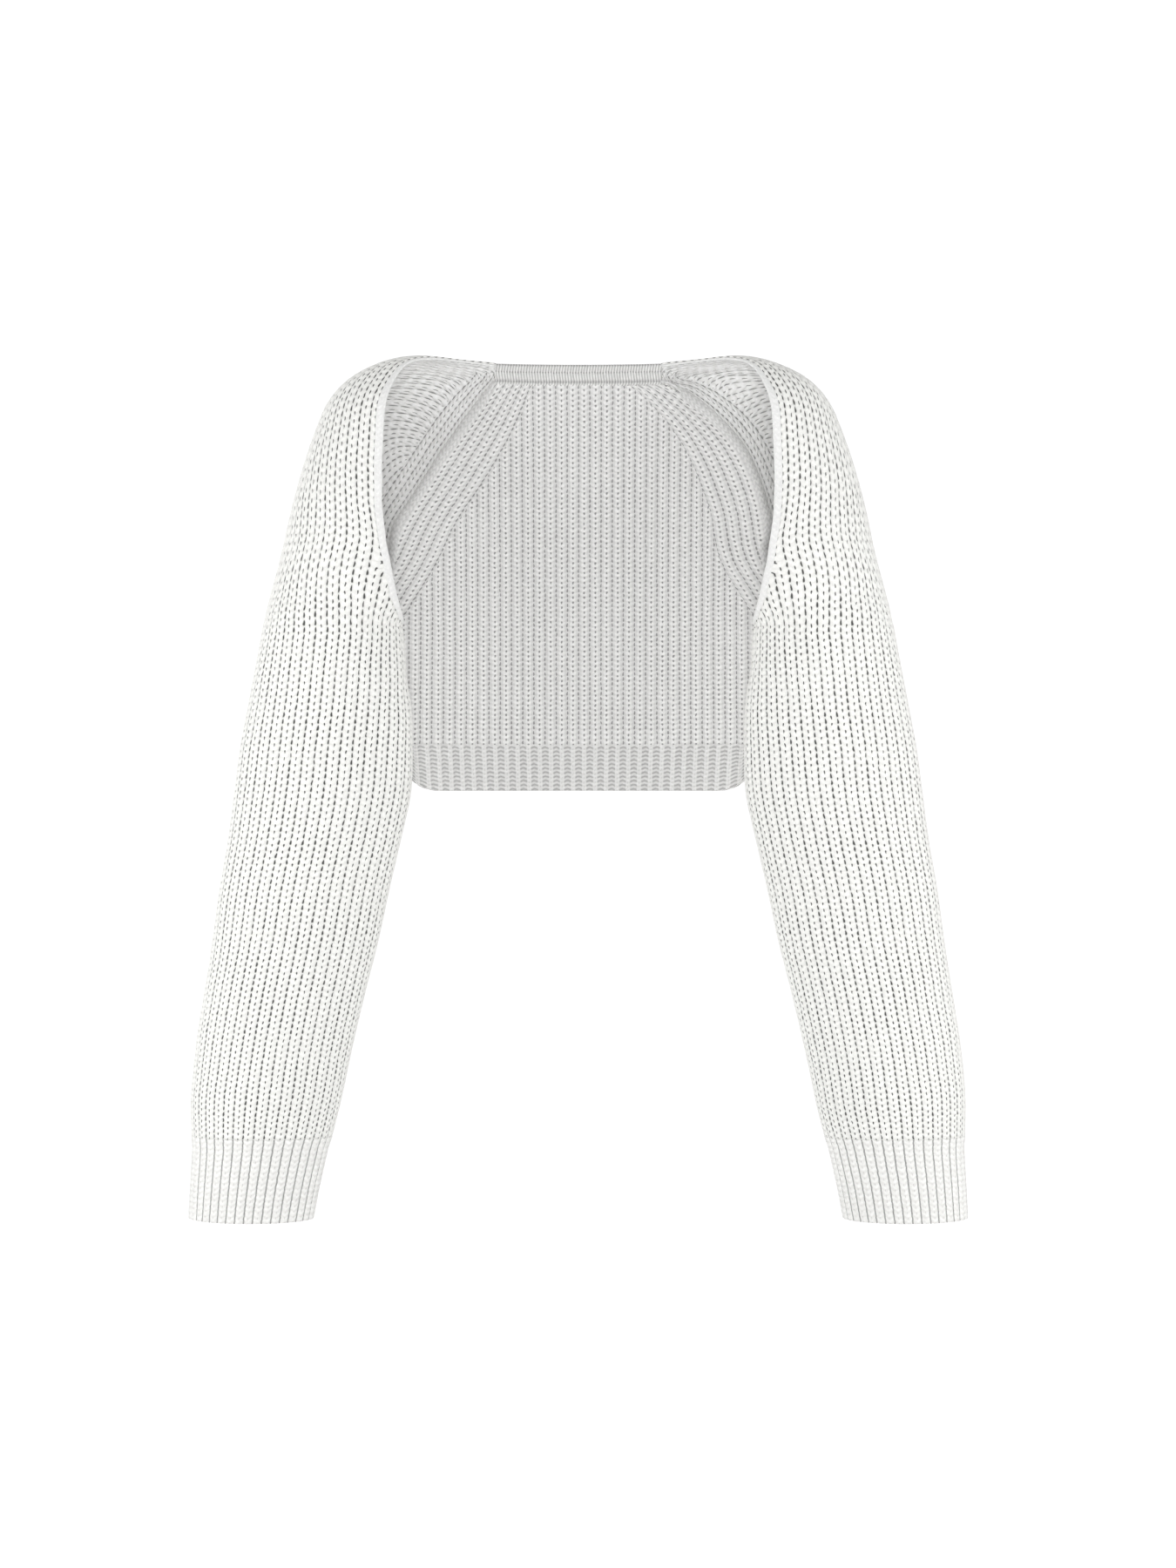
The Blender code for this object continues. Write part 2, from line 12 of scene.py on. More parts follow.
import bpy
import numpy as np
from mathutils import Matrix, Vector


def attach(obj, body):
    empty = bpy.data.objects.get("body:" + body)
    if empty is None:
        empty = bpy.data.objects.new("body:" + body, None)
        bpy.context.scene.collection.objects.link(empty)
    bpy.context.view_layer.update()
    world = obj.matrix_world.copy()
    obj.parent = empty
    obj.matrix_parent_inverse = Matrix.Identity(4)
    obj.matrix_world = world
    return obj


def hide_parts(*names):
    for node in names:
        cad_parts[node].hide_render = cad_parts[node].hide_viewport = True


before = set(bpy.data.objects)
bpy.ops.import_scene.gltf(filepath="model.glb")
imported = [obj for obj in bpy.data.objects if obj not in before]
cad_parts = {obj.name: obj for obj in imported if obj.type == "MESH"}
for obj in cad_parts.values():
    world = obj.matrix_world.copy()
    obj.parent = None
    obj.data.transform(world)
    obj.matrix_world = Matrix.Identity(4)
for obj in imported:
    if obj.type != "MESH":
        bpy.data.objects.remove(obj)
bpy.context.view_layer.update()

MM = 0.001
print("pieces of the model:", sorted(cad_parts))

# %% [markdown]
# ## Camera
# The camera stands three metres in front of the garment, level with the
# middle of it, and looks straight back. A short lens close by would do too,
# but a long one keeps the sleeves from spreading towards the picture's edges.

# %% The camera
VIEW_HEIGHT = 1.26            # metres seen from top to bottom at the garment
DISTANCE = 3.0
ACROSS, LEVEL = 0.0077, -0.329
SENSOR = 24.0                 # millimetres, from top to bottom
lens = bpy.data.cameras.new("studio_camera")
lens.sensor_fit = "VERTICAL"
lens.sensor_height = SENSOR
lens.lens = SENSOR * DISTANCE / VIEW_HEIGHT
camera = bpy.data.objects.new("studio_camera", lens)
bpy.context.scene.collection.objects.link(camera)
camera.location = (ACROSS, -DISTANCE, LEVEL)
camera.rotation_euler = (math.radians(90), 0, 0)
bpy.context.scene.camera = camera
print("focal length in mm:", round(lens.lens, 2))

# %% [markdown]
# ## Floor and light
# White wool shows its stitches only in soft shade, so every lamp is a wide
# square. A large one in front and one beside the camera give most of the
# light, two fill the outer sides of the arms, one lies over the shoulders,
# one rakes the back from behind, and an even white sky fills the shadows.

# %% The lamps and the sky
LAMPS = {"front_light": ((-0.2, -3.6, 0.5), (0, 0, -0.35), 2.2, 14),
         "camera_light": ((0.0, -3.3, -0.25), (0, 0, -0.3), 0.9, 27),
         "left_arm_light": ((1.05, -0.5, -0.3), (0.25, 0, -0.45), 0.8, 4.2),
         "right_arm_light": ((-1.05, -0.5, -0.3), (-0.25, 0, -0.45), 0.8, 4.2),
         "top_light": ((0.0, -0.5, 1.3), (0, 0, 0), 1.3, 3.2),
         "back_light": ((-1.2, 1.3, 0.5), (0, 0, -0.25), 0.7, 9.0)}
SKY = 0.42
for name, (place, aim, size, watts) in LAMPS.items():
    light = bpy.data.lights.new(name, "AREA")
    light.size = size
    light.energy = watts
    made = bpy.data.objects.new(name, light)
    bpy.context.scene.collection.objects.link(made)
    made.location = place
    made.rotation_euler = (Vector(aim) - Vector(place)).to_track_quat("-Z", "Y").to_euler()
    made.visible_camera = False
world = bpy.data.worlds.new("studio_light")
world.use_nodes = True
sky = world.node_tree.nodes["Background"]
sky.inputs["Color"].default_value = (1.0, 1.0, 1.0, 1)
sky.inputs["Strength"].default_value = SKY
bpy.context.scene.world = world
bpy.context.scene.view_settings.view_transform = "Standard"
print("watts in all:", sum(setting[3] for setting in LAMPS.values()))

# %% [markdown]
# The floor lies well below the cuffs and sweeps up into a wall six metres
# behind. Lamps on the wall would also light the garment's edges, so the floor
# itself glows, and the garment stands before plain white. Only the camera
# sees the whole glow: less than a third of it reaches the garment, so that
# its folds keep their shade.

# %% Short ways to make shader nodes
def fill(tree, node, inputs):
    """Connect a node's inputs, or give them a value."""
    for key, value in inputs.items():
        if isinstance(value, bpy.types.NodeSocket):
            tree.links.new(value, node.inputs[key])
        else:
            node.inputs[key].default_value = value


def wire(tree, kind, inputs, **settings):
    """Add a node, set it up and fill its inputs."""
    node = tree.nodes.new(kind)
    for key, value in settings.items():
        setattr(node, key, value)
    fill(tree, node, inputs)
    return node


def maths(tree, operation, first, second=0.0, third=0.0):
    inputs = {0: first, 1: second, 2: third}
    return wire(tree, "ShaderNodeMath", inputs, operation=operation).outputs[0]


def spread(tree, value, low, high, to_low=0.0, to_high=1.0):
    """Smooth step of a value between two limits."""
    inputs = {"Value": value, "From Min": low, "From Max": high, "To Min": to_low, "To Max": to_high}
    return wire(tree, "ShaderNodeMapRange", inputs, interpolation_type="SMOOTHSTEP").outputs["Result"]


def noise(tree, place, scale, detail):
    inputs = {"Vector": place, "Scale": scale, "Detail": detail}
    return wire(tree, "ShaderNodeTexNoise", inputs).outputs["Fac"]


def blend(tree, factor, first, second, kind="MIX"):
    """One colour over another."""
    inputs = {"Factor": factor, 6: first, 7: second}
    return wire(tree, "ShaderNodeMix", inputs, data_type="RGBA", blend_type=kind).outputs[2]


def group_with(name, place, sizes, results):
    """New node group, with its input and output nodes."""
    tree = bpy.data.node_groups.new(name, "ShaderNodeTree")
    tree.interface.new_socket(place, in_out="INPUT", socket_type="NodeSocketVector")
    for way, labels in (("INPUT", sizes), ("OUTPUT", results)):
        for label in labels:
            tree.interface.new_socket(label, in_out=way, socket_type="NodeSocketFloat")
    return tree, tree.nodes.new("NodeGroupInput"), tree.nodes.new("NodeGroupOutput")


print("short ways:", [way.__name__ for way in (fill, wire, maths, spread, noise, blend, group_with)])

# %% The floor
FLOOR = -1.05
FLOOR_SIZE = 60
WALL_AT = 6.0
BEND = 2.0                    # metres over which the floor turns up
WALL_RISE = 0.7
GLOW = 0.65
GLOW_FROM, GLOW_FULL = -0.4, 0.45
GLOW_ON_CLOTH = 0.3           # share of the glow that reaches the garment
bpy.ops.object.select_all(action="DESELECT")
bpy.ops.mesh.primitive_grid_add(x_subdivisions=1, y_subdivisions=60, size=FLOOR_SIZE, location=(0, 0, 0))
floor = bpy.context.object
floor.name = "studio_floor"
for corner in floor.data.vertices:
    behind = max(0.0, corner.co.y - WALL_AT)
    corner.co.y = min(corner.co.y, WALL_AT + BEND * (1 - math.exp(-behind / BEND)))
    corner.co.z = FLOOR + WALL_RISE * behind
paint = bpy.data.materials.new("studio_paint")
paint.use_nodes = True
tree = paint.node_tree
where = wire(tree, "ShaderNodeTexCoord", {})
split = wire(tree, "ShaderNodeSeparateXYZ", {0: where.outputs["Object"]})
path = wire(tree, "ShaderNodeLightPath", {})
glow = spread(tree, split.outputs["Y"], GLOW_FROM, GLOW_FULL, to_high=GLOW)
share = spread(tree, path.outputs["Is Camera Ray"], 0.0, 1.0, to_low=GLOW_ON_CLOTH)
fill(tree, tree.nodes["Principled BSDF"], {
    "Base Color": (0.92, 0.92, 0.92, 1), "Roughness": 1.0, "Specular IOR Level": 0.0,
    "Emission Color": glow, "Emission Strength": share})
floor.data.materials.append(paint)
bpy.ops.object.shade_smooth()
print("floor in metres:", FLOOR)

# %% [markdown]
# ## The garment's form
# These are the sizes that the solid model was made from. A knitted piece has
# no straight pattern edge to draw; it has a worn form, and the stitches
# follow it. Tables hold it: the back as seen from the side, its free edges
# and the borders along its seams, the closed tube of a sleeve from cuff to
# armpit, and the open cap from armpit to neck.

# %% Sizes of the form
HANDS = {-1: "right", 1: "left"}    # the wearer's, by the sign of x
SLEEVE_RIBS = 36
RIB_PITCH = 9.2 * MM
NECK_HALF = 66 * MM
NECK_WRAP = 9 * MM
NECK_BOTTOM = -6.9 * MM
HEM_TOP = -297 * MM
HEM_DROP = 37.6 * MM
HEM_CORNER = 26 * MM
HEM_LIFT = 17 * MM
CUFF_TOP = -607 * MM
CUFF_BOTTOM = -671.5 * MM
CUFF_SAG = 1.5 * MM
CUFF_HALF_DEPTH = 35 * MM
RAGLAN_BOW = 25 * MM
RAGLAN_DROP = 130 * MM
WRAP_REACH = 140 * MM
WRAP_POWER = 3.0
WRAP_SOFTEN = 2.1
NECK_FADE = 25 * MM
ARMPIT_ANGLE = math.radians(134.5)
SEAM_GAP = 0.1 * MM


def table(names, rows):
    """Columns of a size table in metres, by name."""
    columns = np.array(rows, dtype=float).T * MM
    return dict(zip(names.split(), columns))


BACK = table("height middle side_wrap", [
    (-336, 62, 55), (-297, 65, 52), (-250, 67, 45), (-205, 66, 38),
    (-150, 61, 33), (-110, 52, 28), (-75, 40, 23), (-45, 27, 20),
    (-22, 13, 18), (-7, 2.4, 16), (9, -1, 16)])
FREE_EDGE = table("height half_width", [
    (-336, 137), (-297.5, 139.5), (-272, 142), (-245, 145), (-222, 148),
    (-207, 151.5), (-198, 157.4)])
BORDER = table("height width", [
    (-205, 4), (-188, 16), (-166, 27), (-139, 38), (-112, 42), (-50, 41),
    (-7, 28)])
TUBE = table("height inner outer middle half_depth", [
    (-678, 211.5, 307, -50, 33), (-646, 205.5, 305.5, -48, 35),
    (-615, 198.5, 304, -46, 38), (-585, 191, 304.5, -44, 41),
    (-545, 182.5, 302, -42, 42), (-497, 171.5, 295.5, -39, 42),
    (-453, 160.5, 288.7, -36, 42), (-413, 152, 283.5, -33, 42),
    (-371, 142.5, 276.5, -30, 42), (-335, 135, 272, -28, 42),
    (-300, 134, 267.5, -26, 43), (-266, 135, 261.3, -24, 45),
    (-235, 138.5, 255.5, -22, 47.5), (-205, 141.5, 250, -21, 50)])
CAP = table("seam_x seam_z outer_x outer_z edge_x edge_y edge_z middle "
            "half_width half_depth", [
    (158, -205, 250, -205, 158, 15, -205, -21, 54.2, 50),
    (157.6, -198, 248.3, -199, 147.6, 2, -204, -21, 53.5, 50.5),
    (156.5, -188, 246.5, -190, 141.8, -20, -202, -21, 53, 51),
    (154.9, -176, 243.8, -179, 143.4, -42, -195.5, -20, 53, 52),
    (153, -162, 240.3, -164, 148.5, -60, -180, -20, 52, 53),
    (150, -142, 234.5, -142, 154, -70, -153, -19, 52, 54),
    (146.3, -121, 228, -114, 159.2, -74, -119, -18, 52, 55),
    (134.5, -102, 219.8, -83, 160.2, -73, -85, -17, 54, 56),
    (122, -83, 209.5, -51, 159.3, -70, -55, -16, 57, 56),
    (110.6, -65, 198.5, -26, 157.6, -66, -32, -14, 62, 55),
    (98, -48, 181, -8, 152, -58, -15, -13, 66, 49),
    (87, -34, 157, 2.5, 139.5, -44, 3, -12, 65, 39),
    (77.5, -22, 130, 8, 121, -29, 9.5, -9, 45, 25),
    (70.5, -13, 101, 6, 93, -14, 8.6, -6, 24, 13),
    (66.2, -7.2, 66.6, 5.6, 66.4, -8.0, 6.4, -6.5, 6.5, 2.0)])
TURN_ROW = 5


def smooth(place, stops, values):
    """Value at a place on a smooth curve through the table's stops."""
    slopes = np.gradient(values, stops)
    index = int(np.searchsorted(stops, place)) - 1
    index = min(max(index, 0), len(stops) - 2)
    span = stops[index + 1] - stops[index]
    f = min(max((place - stops[index]) / span, 0.0), 1.0)
    rise = f * f * (3 - 2 * f) * (values[index + 1] - values[index])
    bend = f * (1 - f) * span * ((1 - f) * slopes[index] - f * slopes[index + 1])
    return values[index] + rise + bend


def column(sizes, name, place):
    return smooth(place, sizes["height"], sizes[name])


def cap_value(name, place):
    return smooth(place, np.arange(len(CAP[name])), CAP[name])


def back_depth(x, z):
    """How far behind the neckband the back stands at one place."""
    power = WRAP_POWER + WRAP_SOFTEN * z
    wrap = column(BACK, "side_wrap", z) * (abs(x) / WRAP_REACH) ** power
    neck = NECK_WRAP * (x / NECK_HALF) ** 2 * math.exp(z / NECK_FADE)
    return column(BACK, "middle", z) - wrap - neck


def raglan_x(side, x, z):
    """Half width of the back at the raglan seam."""
    down = min(max((CAP["seam_z"][-1] - z) / RAGLAN_DROP, 0.0), 1.0)
    bow = RAGLAN_BOW if side > 0 else 0.0
    return x + bow * math.sin(math.pi * down ** 0.7)


print("back stands", round(back_depth(0, -0.2) / MM, 1), "mm behind the neck")

# %% [markdown]
# A sleeve section is part of an ellipse. In the tube it goes all the way
# round from the underarm seam, and in the cap it starts on the raglan seam
# and ends on the free front edge.

# %% Sections of a sleeve
ARC_POINTS = 241
LEAST_TURN = 0.1              # radians from the seam to the front edge


def totals(steps):
    """Running totals, from zero."""
    return np.concatenate([[0.0], np.cumsum(steps)])


def run_of(points):
    """Distance along a line of points."""
    return totals(np.linalg.norm(np.diff(points, axis=0), axis=1))


def at(points, run, wanted):
    """Points at the wanted distances along a line."""
    parts = [np.interp(wanted, run, points[:, axis]) for axis in range(3)]
    return np.stack(parts, axis=1)


def ring_arc(centre, outward, half_width, half_depth, start, end):
    turn = np.linspace(start, end, ARC_POINTS)[:, None]
    depth = np.array([0.0, 1.0, 0.0])
    return centre + np.cos(turn) * half_width * outward + np.sin(turn) * half_depth * depth


def tube_section(side, z):
    """Closed ring of the sleeve at one height, from the underarm seam round."""
    inner, outer, middle, half_depth = (column(TUBE, name, z) for name in list(TUBE)[1:])
    centre = np.array([side * (inner + outer) / 2, middle, z])
    outward = np.array([side, 0.0, 0.0])
    end = ARMPIT_ANGLE - 2 * math.pi
    return ring_arc(centre, outward, (outer - inner) / 2, half_depth, ARMPIT_ANGLE, end)


def cap_section(side, place):
    """Open section of the sleeve, from the raglan seam to the front edge."""
    row = {name: cap_value(name, place) for name in CAP}
    seam_x = raglan_x(side, row["seam_x"], row["seam_z"])
    seam = np.array([side * seam_x, back_depth(seam_x, row["seam_z"]), row["seam_z"]])
    edge = np.array([side * row["edge_x"], row["edge_y"], row["edge_z"]])
    if place == 0:
        edge = seam.copy()
    top = np.array([side * row["outer_x"], row["middle"], row["outer_z"]])
    outward = top - (seam + edge) / 2
    outward[1] = 0.0
    outward /= np.linalg.norm(outward)
    centre = top - row["half_width"] * outward
    angles = []
    for point in (seam, edge):
        across = (point - centre) @ outward / row["half_width"]
        deep = (point - centre)[1] / row["half_depth"]
        angles.append(math.atan2(deep, across))
    while angles[1] > angles[0] - LEAST_TURN:
        angles[1] -= 2 * math.pi
    arc = ring_arc(centre, outward, row["half_width"], row["half_depth"], *angles)
    along = np.linspace(0.0, 1.0, len(arc))[:, None]
    arc = arc + (seam - arc[0]) * (1 - along) ** 3
    return arc + (edge - arc[-1]) * along ** 3


print("round the sleeve at the armpit:", round(run_of(cap_section(1, 0))[-1] / MM), "mm")

# %% [markdown]
# ## Knitting a wall
# Fisherman's rib looks the same on both faces: columns of open V stitches
# stand up between sunken columns, with a small hole at the foot of each V.
# A plane with a displaced picture of knitting would stretch at the shoulder,
# and real loops of yarn would be millions of faces. So the piece is knitted
# as a maker does it, in rows, two to a course. Each point of a row has a
# column number, six columns to a rib, and rows are joined by number, so that
# ribs can be dropped at a seam.

# %% Rows and columns
PER_RIB = 6                   # columns of points in one rib
PER_COURSE = 2                # rows of points in one course


class Knit:
    """A knitted piece: rows of (column number, point)."""

    def __init__(self):
        self.points, self.columns, self.courses, self.rows = [], [], [], []

    def add_row(self, keys, points, course, closed=False):
        first = len(self.points)
        row = [(key, first + i) for i, key in enumerate(keys)]
        self.points.extend(points)
        self.columns.extend(keys)
        self.courses.extend([course] * len(keys))
        if closed:
            row.append((keys[-1] + 1, first))
        self.rows.append(row)


def apart(points, one, other):
    """Squared distance between two places in rows."""
    way = points[one[1]] - points[other[1]]
    return way @ way


def join(low, high, points):
    """Faces between two rows, by column number: corners are (column, point)."""
    low_at = {key: i for i, (key, point) in enumerate(low)}
    stops = [(0, 0)]
    stops += [(low_at[key], j) for j, (key, point) in enumerate(high) if key in low_at]
    stops.append((len(low) - 1, len(high) - 1))
    faces = []
    for (i, j), (i_end, j_end) in zip(stops, stops[1:]):
        if i_end - i == 1 and j_end - j == 1:
            faces.append((low[i], low[i_end], high[j_end], high[j]))
            continue
        while i < i_end or j < j_end:
            here, there = low[i], high[j]
            if j < j_end and i < i_end:
                step_low = apart(points, low[i + 1], there) < apart(points, high[j + 1], here)
            else:
                step_low = i < i_end
            if step_low:
                i += 1
                faces.append((here, low[i], there))
            else:
                j += 1
                faces.append((here, high[j], there))
    return faces


two_ribs = [(key, key) for key in range(2 * PER_RIB)]
print("faces between two rows of two ribs:", len(join(two_ribs, two_ribs, None)))

# %% [markdown]
# The wall is the row points moved out and in by half the cloth, and further
# where a stitch stands up. The two faces are then closed round the edges, so
# the cloth is one solid skin. A Solidify modifier would give the thickness
# too, but not different stitches on each face.

# %% The relief of the stitches
WALL = 1.7 * MM               # cloth between the sunken columns
# Height of the stitch at 0, 1, 2 and 3 columns from the middle of its rib,
# in the row of the holes and in the row between.
STRETCHED = np.array([(0.40, 0.84), (0.88, 1.0), (0.66, 0.56), (0.10, -0.22)])
SLACK = np.array([(0.50, 0.88), (1.0, 1.0), (0.28, 0.22), (0.10, -0.02)])


def normals_of(points, faces):
    """Direction out of the cloth at each point."""
    corners = np.array([[c[1] for c in face] + [face[-1][1]] * (4 - len(face)) for face in faces])
    a, b, c, d = (points[corners[:, i]] for i in range(4))
    flat = np.cross(c - a, d - b)
    short = corners[:, 2] == corners[:, 3]
    flat[short] = np.cross(b - a, c - a)[short]
    total = np.zeros_like(points)
    for i in range(4):
        np.add.at(total, corners[:, i], flat)
    return total / np.maximum(np.linalg.norm(total, axis=1)[:, None], 1e-12)


def stitch_height(stitch, columns, courses):
    """Relief of the stitches, 0 in the sunken column and 1 on the rib."""
    inside = np.abs((np.array(columns) + PER_RIB // 2) % PER_RIB - PER_RIB // 2)
    between = np.round(np.array(courses) * PER_COURSE).astype(int) % PER_COURSE
    return stitch[inside, between]


print("heights across one stretched stitch:", STRETCHED[:, 0].tolist())

# %% From points to a finished object
SMOOTH_ANGLE = math.radians(72)


def make_object(name, points, faces, corners, finishes, angle, wears=None):
    """Object with a knit map, faces turned outwards and smooth up to an angle.

    wears gives the number of each face's finish."""
    mesh = bpy.data.meshes.new(name)
    mesh.from_pydata(np.array(points).tolist(), [], faces)
    layer = mesh.uv_layers.new(name="knit")
    layer.data.foreach_set("uv", corners)
    for finish in finishes:
        mesh.materials.append(finish)
    if wears:
        mesh.polygons.foreach_set("material_index", wears)
    made = bpy.data.objects.new(name, mesh)
    bpy.context.scene.collection.objects.link(made)
    bpy.ops.object.select_all(action="DESELECT")
    made.select_set(True)
    bpy.context.view_layer.objects.active = made
    bpy.ops.object.mode_set(mode="EDIT")
    bpy.ops.mesh.select_all(action="SELECT")
    bpy.ops.mesh.delete_loose()
    bpy.ops.mesh.select_all(action="SELECT")
    bpy.ops.mesh.normals_make_consistent(inside=False)
    bpy.ops.object.mode_set(mode="OBJECT")
    bpy.ops.object.shade_smooth_by_angle(angle=angle)
    print(name, sum(len(face.vertices) - 2 for face in mesh.polygons), "triangles")
    return made


print("faces meet smoothly below", round(math.degrees(SMOOTH_ANGLE)), "degrees")

# %% The wall
COARSE_STEP = 8               # rows skipped where nobody sees the inner face


def knit_wall(name, knit, outward, rise, finishes, stitch=SLACK, coarse_rows=0):
    """Closed wall of cloth with the stitches raised on both faces.

    finishes are those of the outer and the inner face.
    outward gives the outside for the first point; the inner face of the
    first coarse_rows rows is plain, where nobody sees it."""
    points = np.array(knit.points)
    outer_faces = []
    for low, high in zip(knit.rows, knit.rows[1:]):
        outer_faces += join(low, high, points)
    normals = normals_of(points, outer_faces)
    if normals[0] @ outward < 0:
        normals = -normals
        outer_faces = [face[::-1] for face in outer_faces]
    height = stitch_height(stitch, knit.columns, knit.courses)
    back_height = stitch_height(stitch, np.array(knit.columns) + PER_RIB // 2, knit.courses)
    outer = points + normals * (WALL / 2 + rise * height)[:, None]
    inner = points - normals * (WALL / 2 + rise * back_height)[:, None]
    count = len(points)
    both = np.concatenate([outer, inner])
    step = PER_RIB // 2
    inner_rows = []
    for index, row in enumerate(knit.rows):
        if index < coarse_rows:
            if index % COARSE_STEP:
                continue
            ends = (0, len(row) - 1)
            row = [pair for i, pair in enumerate(row) if pair[0] % step == 0 or i in ends]
        inner_rows.append([(key, point + count) for key, point in row])
    faces = list(outer_faces)
    ends = [(inner_rows[end], knit.rows[end]) for end in (0, -1)]
    for low, high in list(zip(inner_rows, inner_rows[1:])) + ends:
        faces += join(low, high, both)
    for end in (0, -1):
        side = [row[end] for row in knit.rows if row[0][1] != row[-1][1]]
        mates = [(key, point + count) for key, point in side]
        faces += zip(side, side[1:], mates[1:], mates)
    corners, inner_side = [], []
    for face in faces:
        keys = [key for key, point in face]
        if max(keys) - min(keys) > PER_RIB:
            keys = [min(key, min(keys) + 1) for key in keys]
        for key, (_, point) in zip(keys, face):
            corners += (key / PER_RIB + (0.5 if point >= count else 0.0), knit.courses[point % count])
        inner_side.append(int(min(point for key, point in face) >= count))
    faces = [[point for key, point in face] for face in faces]
    return make_object(name, both, faces, corners, finishes, SMOOTH_ANGLE, inner_side)


print("cloth in mm:", round(WALL / MM, 2))

# %% [markdown]
# ## Yarn
# Up close the wall is a net of yarn: two legs lean together into a V, a hole
# shows at the foot of each V, and a darker peak shows where the legs of
# neighbouring ribs meet. Such holes are under four millimetres wide, so they
# are not cut: the shade seen through the holes and peaks is painted as dark
# spots, and the sunken columns and the clefts between the legs get painted
# shade too. One shader group draws them on the knit map, and each piece sets
# its own strength, because a stretched sleeve shows small holes and a slack
# back shows wide sunken columns.

# %% Shader group for stitches
LADDER_COURSES = (88, 98)     # over which the holes beside the front edge widen
STITCH_SIZES = ["Rib holes", "Groove holes", "Groove edge", "Ladder"]
group, enter, leave = group_with("open_stitches", "Map", STITCH_SIZES, ["Hole", "Groove", "Leg", "Height"])
calc = partial(maths, group)
rib_holes, groove_holes, edge, rung = (enter.outputs[label] for label in STITCH_SIZES)
knit_map = enter.outputs["Map"]
wobble = noise(group, knit_map, 1.3, 2.0)
parts = wire(group, "ShaderNodeSeparateXYZ", {0: knit_map})
u = calc("ADD", parts.outputs["X"], calc("MULTIPLY_ADD", wobble, 0.16, -0.08))
v = calc("ADD", parts.outputs["Y"], calc("MULTIPLY_ADD", wobble, 0.3, -0.15))


def hole(from_middle, level, size, lean, half_tall):
    """Leaf-shaped spot at the foot of a stitch, its two arms leaning."""
    drop = calc("MULTIPLY_ADD", from_middle, lean, level)
    tall = calc("DIVIDE", calc("PINGPONG", drop, 0.5), half_tall)
    wide = calc("DIVIDE", from_middle, size)
    far = calc("ADD", calc("MULTIPLY", tall, tall), calc("MULTIPLY", wide, wide))
    return spread(group, far, 1.2, 0.35)


# Distance from the middle of the nearest rib and of the nearest groove.
aside = calc("PINGPONG", u, 0.5)
sunken = calc("SUBTRACT", 0.5, aside)
snapped = wire(group, "ShaderNodeVectorMath", {0: knit_map, 1: (0.5, 1.0, 1.0)}, operation="SNAP")
cell = wire(group, "ShaderNodeTexWhiteNoise", {"Vector": snapped.outputs[0]}, noise_dimensions="2D")
patchy = calc("MULTIPLY_ADD", noise(group, knit_map, 0.16, 1.0), 0.6, 0.45)
uneven = calc("MULTIPLY_ADD", cell.outputs["Value"], 0.5, patchy)
# Beside the front edge the holes are pulled open into ladders.
near = calc("ABSOLUTE", calc("SUBTRACT", u, rung))
ladder = calc("MULTIPLY", spread(group, near, 1.1, 0.4), spread(group, v, *LADDER_COURSES))
opened = calc("MULTIPLY_ADD", ladder, 0.7, uneven)
rib_size = calc("MULTIPLY", rib_holes, opened)
groove_size = calc("MULTIPLY", groove_holes, opened)
rib_hole = hole(aside, v, rib_size, lean=-1.0, half_tall=0.28)
groove_hole = hole(sunken, calc("ADD", v, 0.5), groove_size, lean=1.6, half_tall=0.42)
holes = calc("MAXIMUM", rib_hole, groove_hole)
# The legs rise outwards from each hole, and meet the next rib's in a roof.
slant = calc("SUBTRACT", v, aside)
wave = calc("COSINE", calc("MULTIPLY", slant, math.tau))
round_leg = calc("POWER", calc("MULTIPLY_ADD", wave, -0.5, 0.5), 0.5)
height = calc("SUBTRACT", round_leg, holes)
groove = spread(group, aside, edge, calc("ADD", edge, 0.1))
# Hole, Groove and Leg mark where the yarn gets painted shade; Height is its bump.
fill(group, leave, {"Hole": holes, "Groove": groove, "Leg": round_leg, "Height": height})
print("inputs:", [item.name for item in group.interface.items_tree if item.in_out == "INPUT"])

# %% [markdown]
# The yarn itself is soft and plied. Its twist and fuzz are much smaller than
# a stitch, so they are bump. Its colour is a warm near-white, with painted
# shade in the holes, the sunken columns and the clefts. Matt wool has a wide
# faint sheen.

# %% Shader group for yarn, and the materials
fuzz, enter, leave = group_with("soft_yarn", "Place", [], ["Fuzz", "Tint"])
fine, strand, broad = (noise(fuzz, enter.outputs[0], scale, detail)
                       for scale, detail in ((900.0, 3.0), (420.0, 3.0), (14.0, 2.0)))
mixed = maths(fuzz, "MULTIPLY_ADD", strand, 2.4, maths(fuzz, "MULTIPLY_ADD", broad, 0.4, -0.9))
fill(fuzz, leave, {"Fuzz": fine, "Tint": mixed})


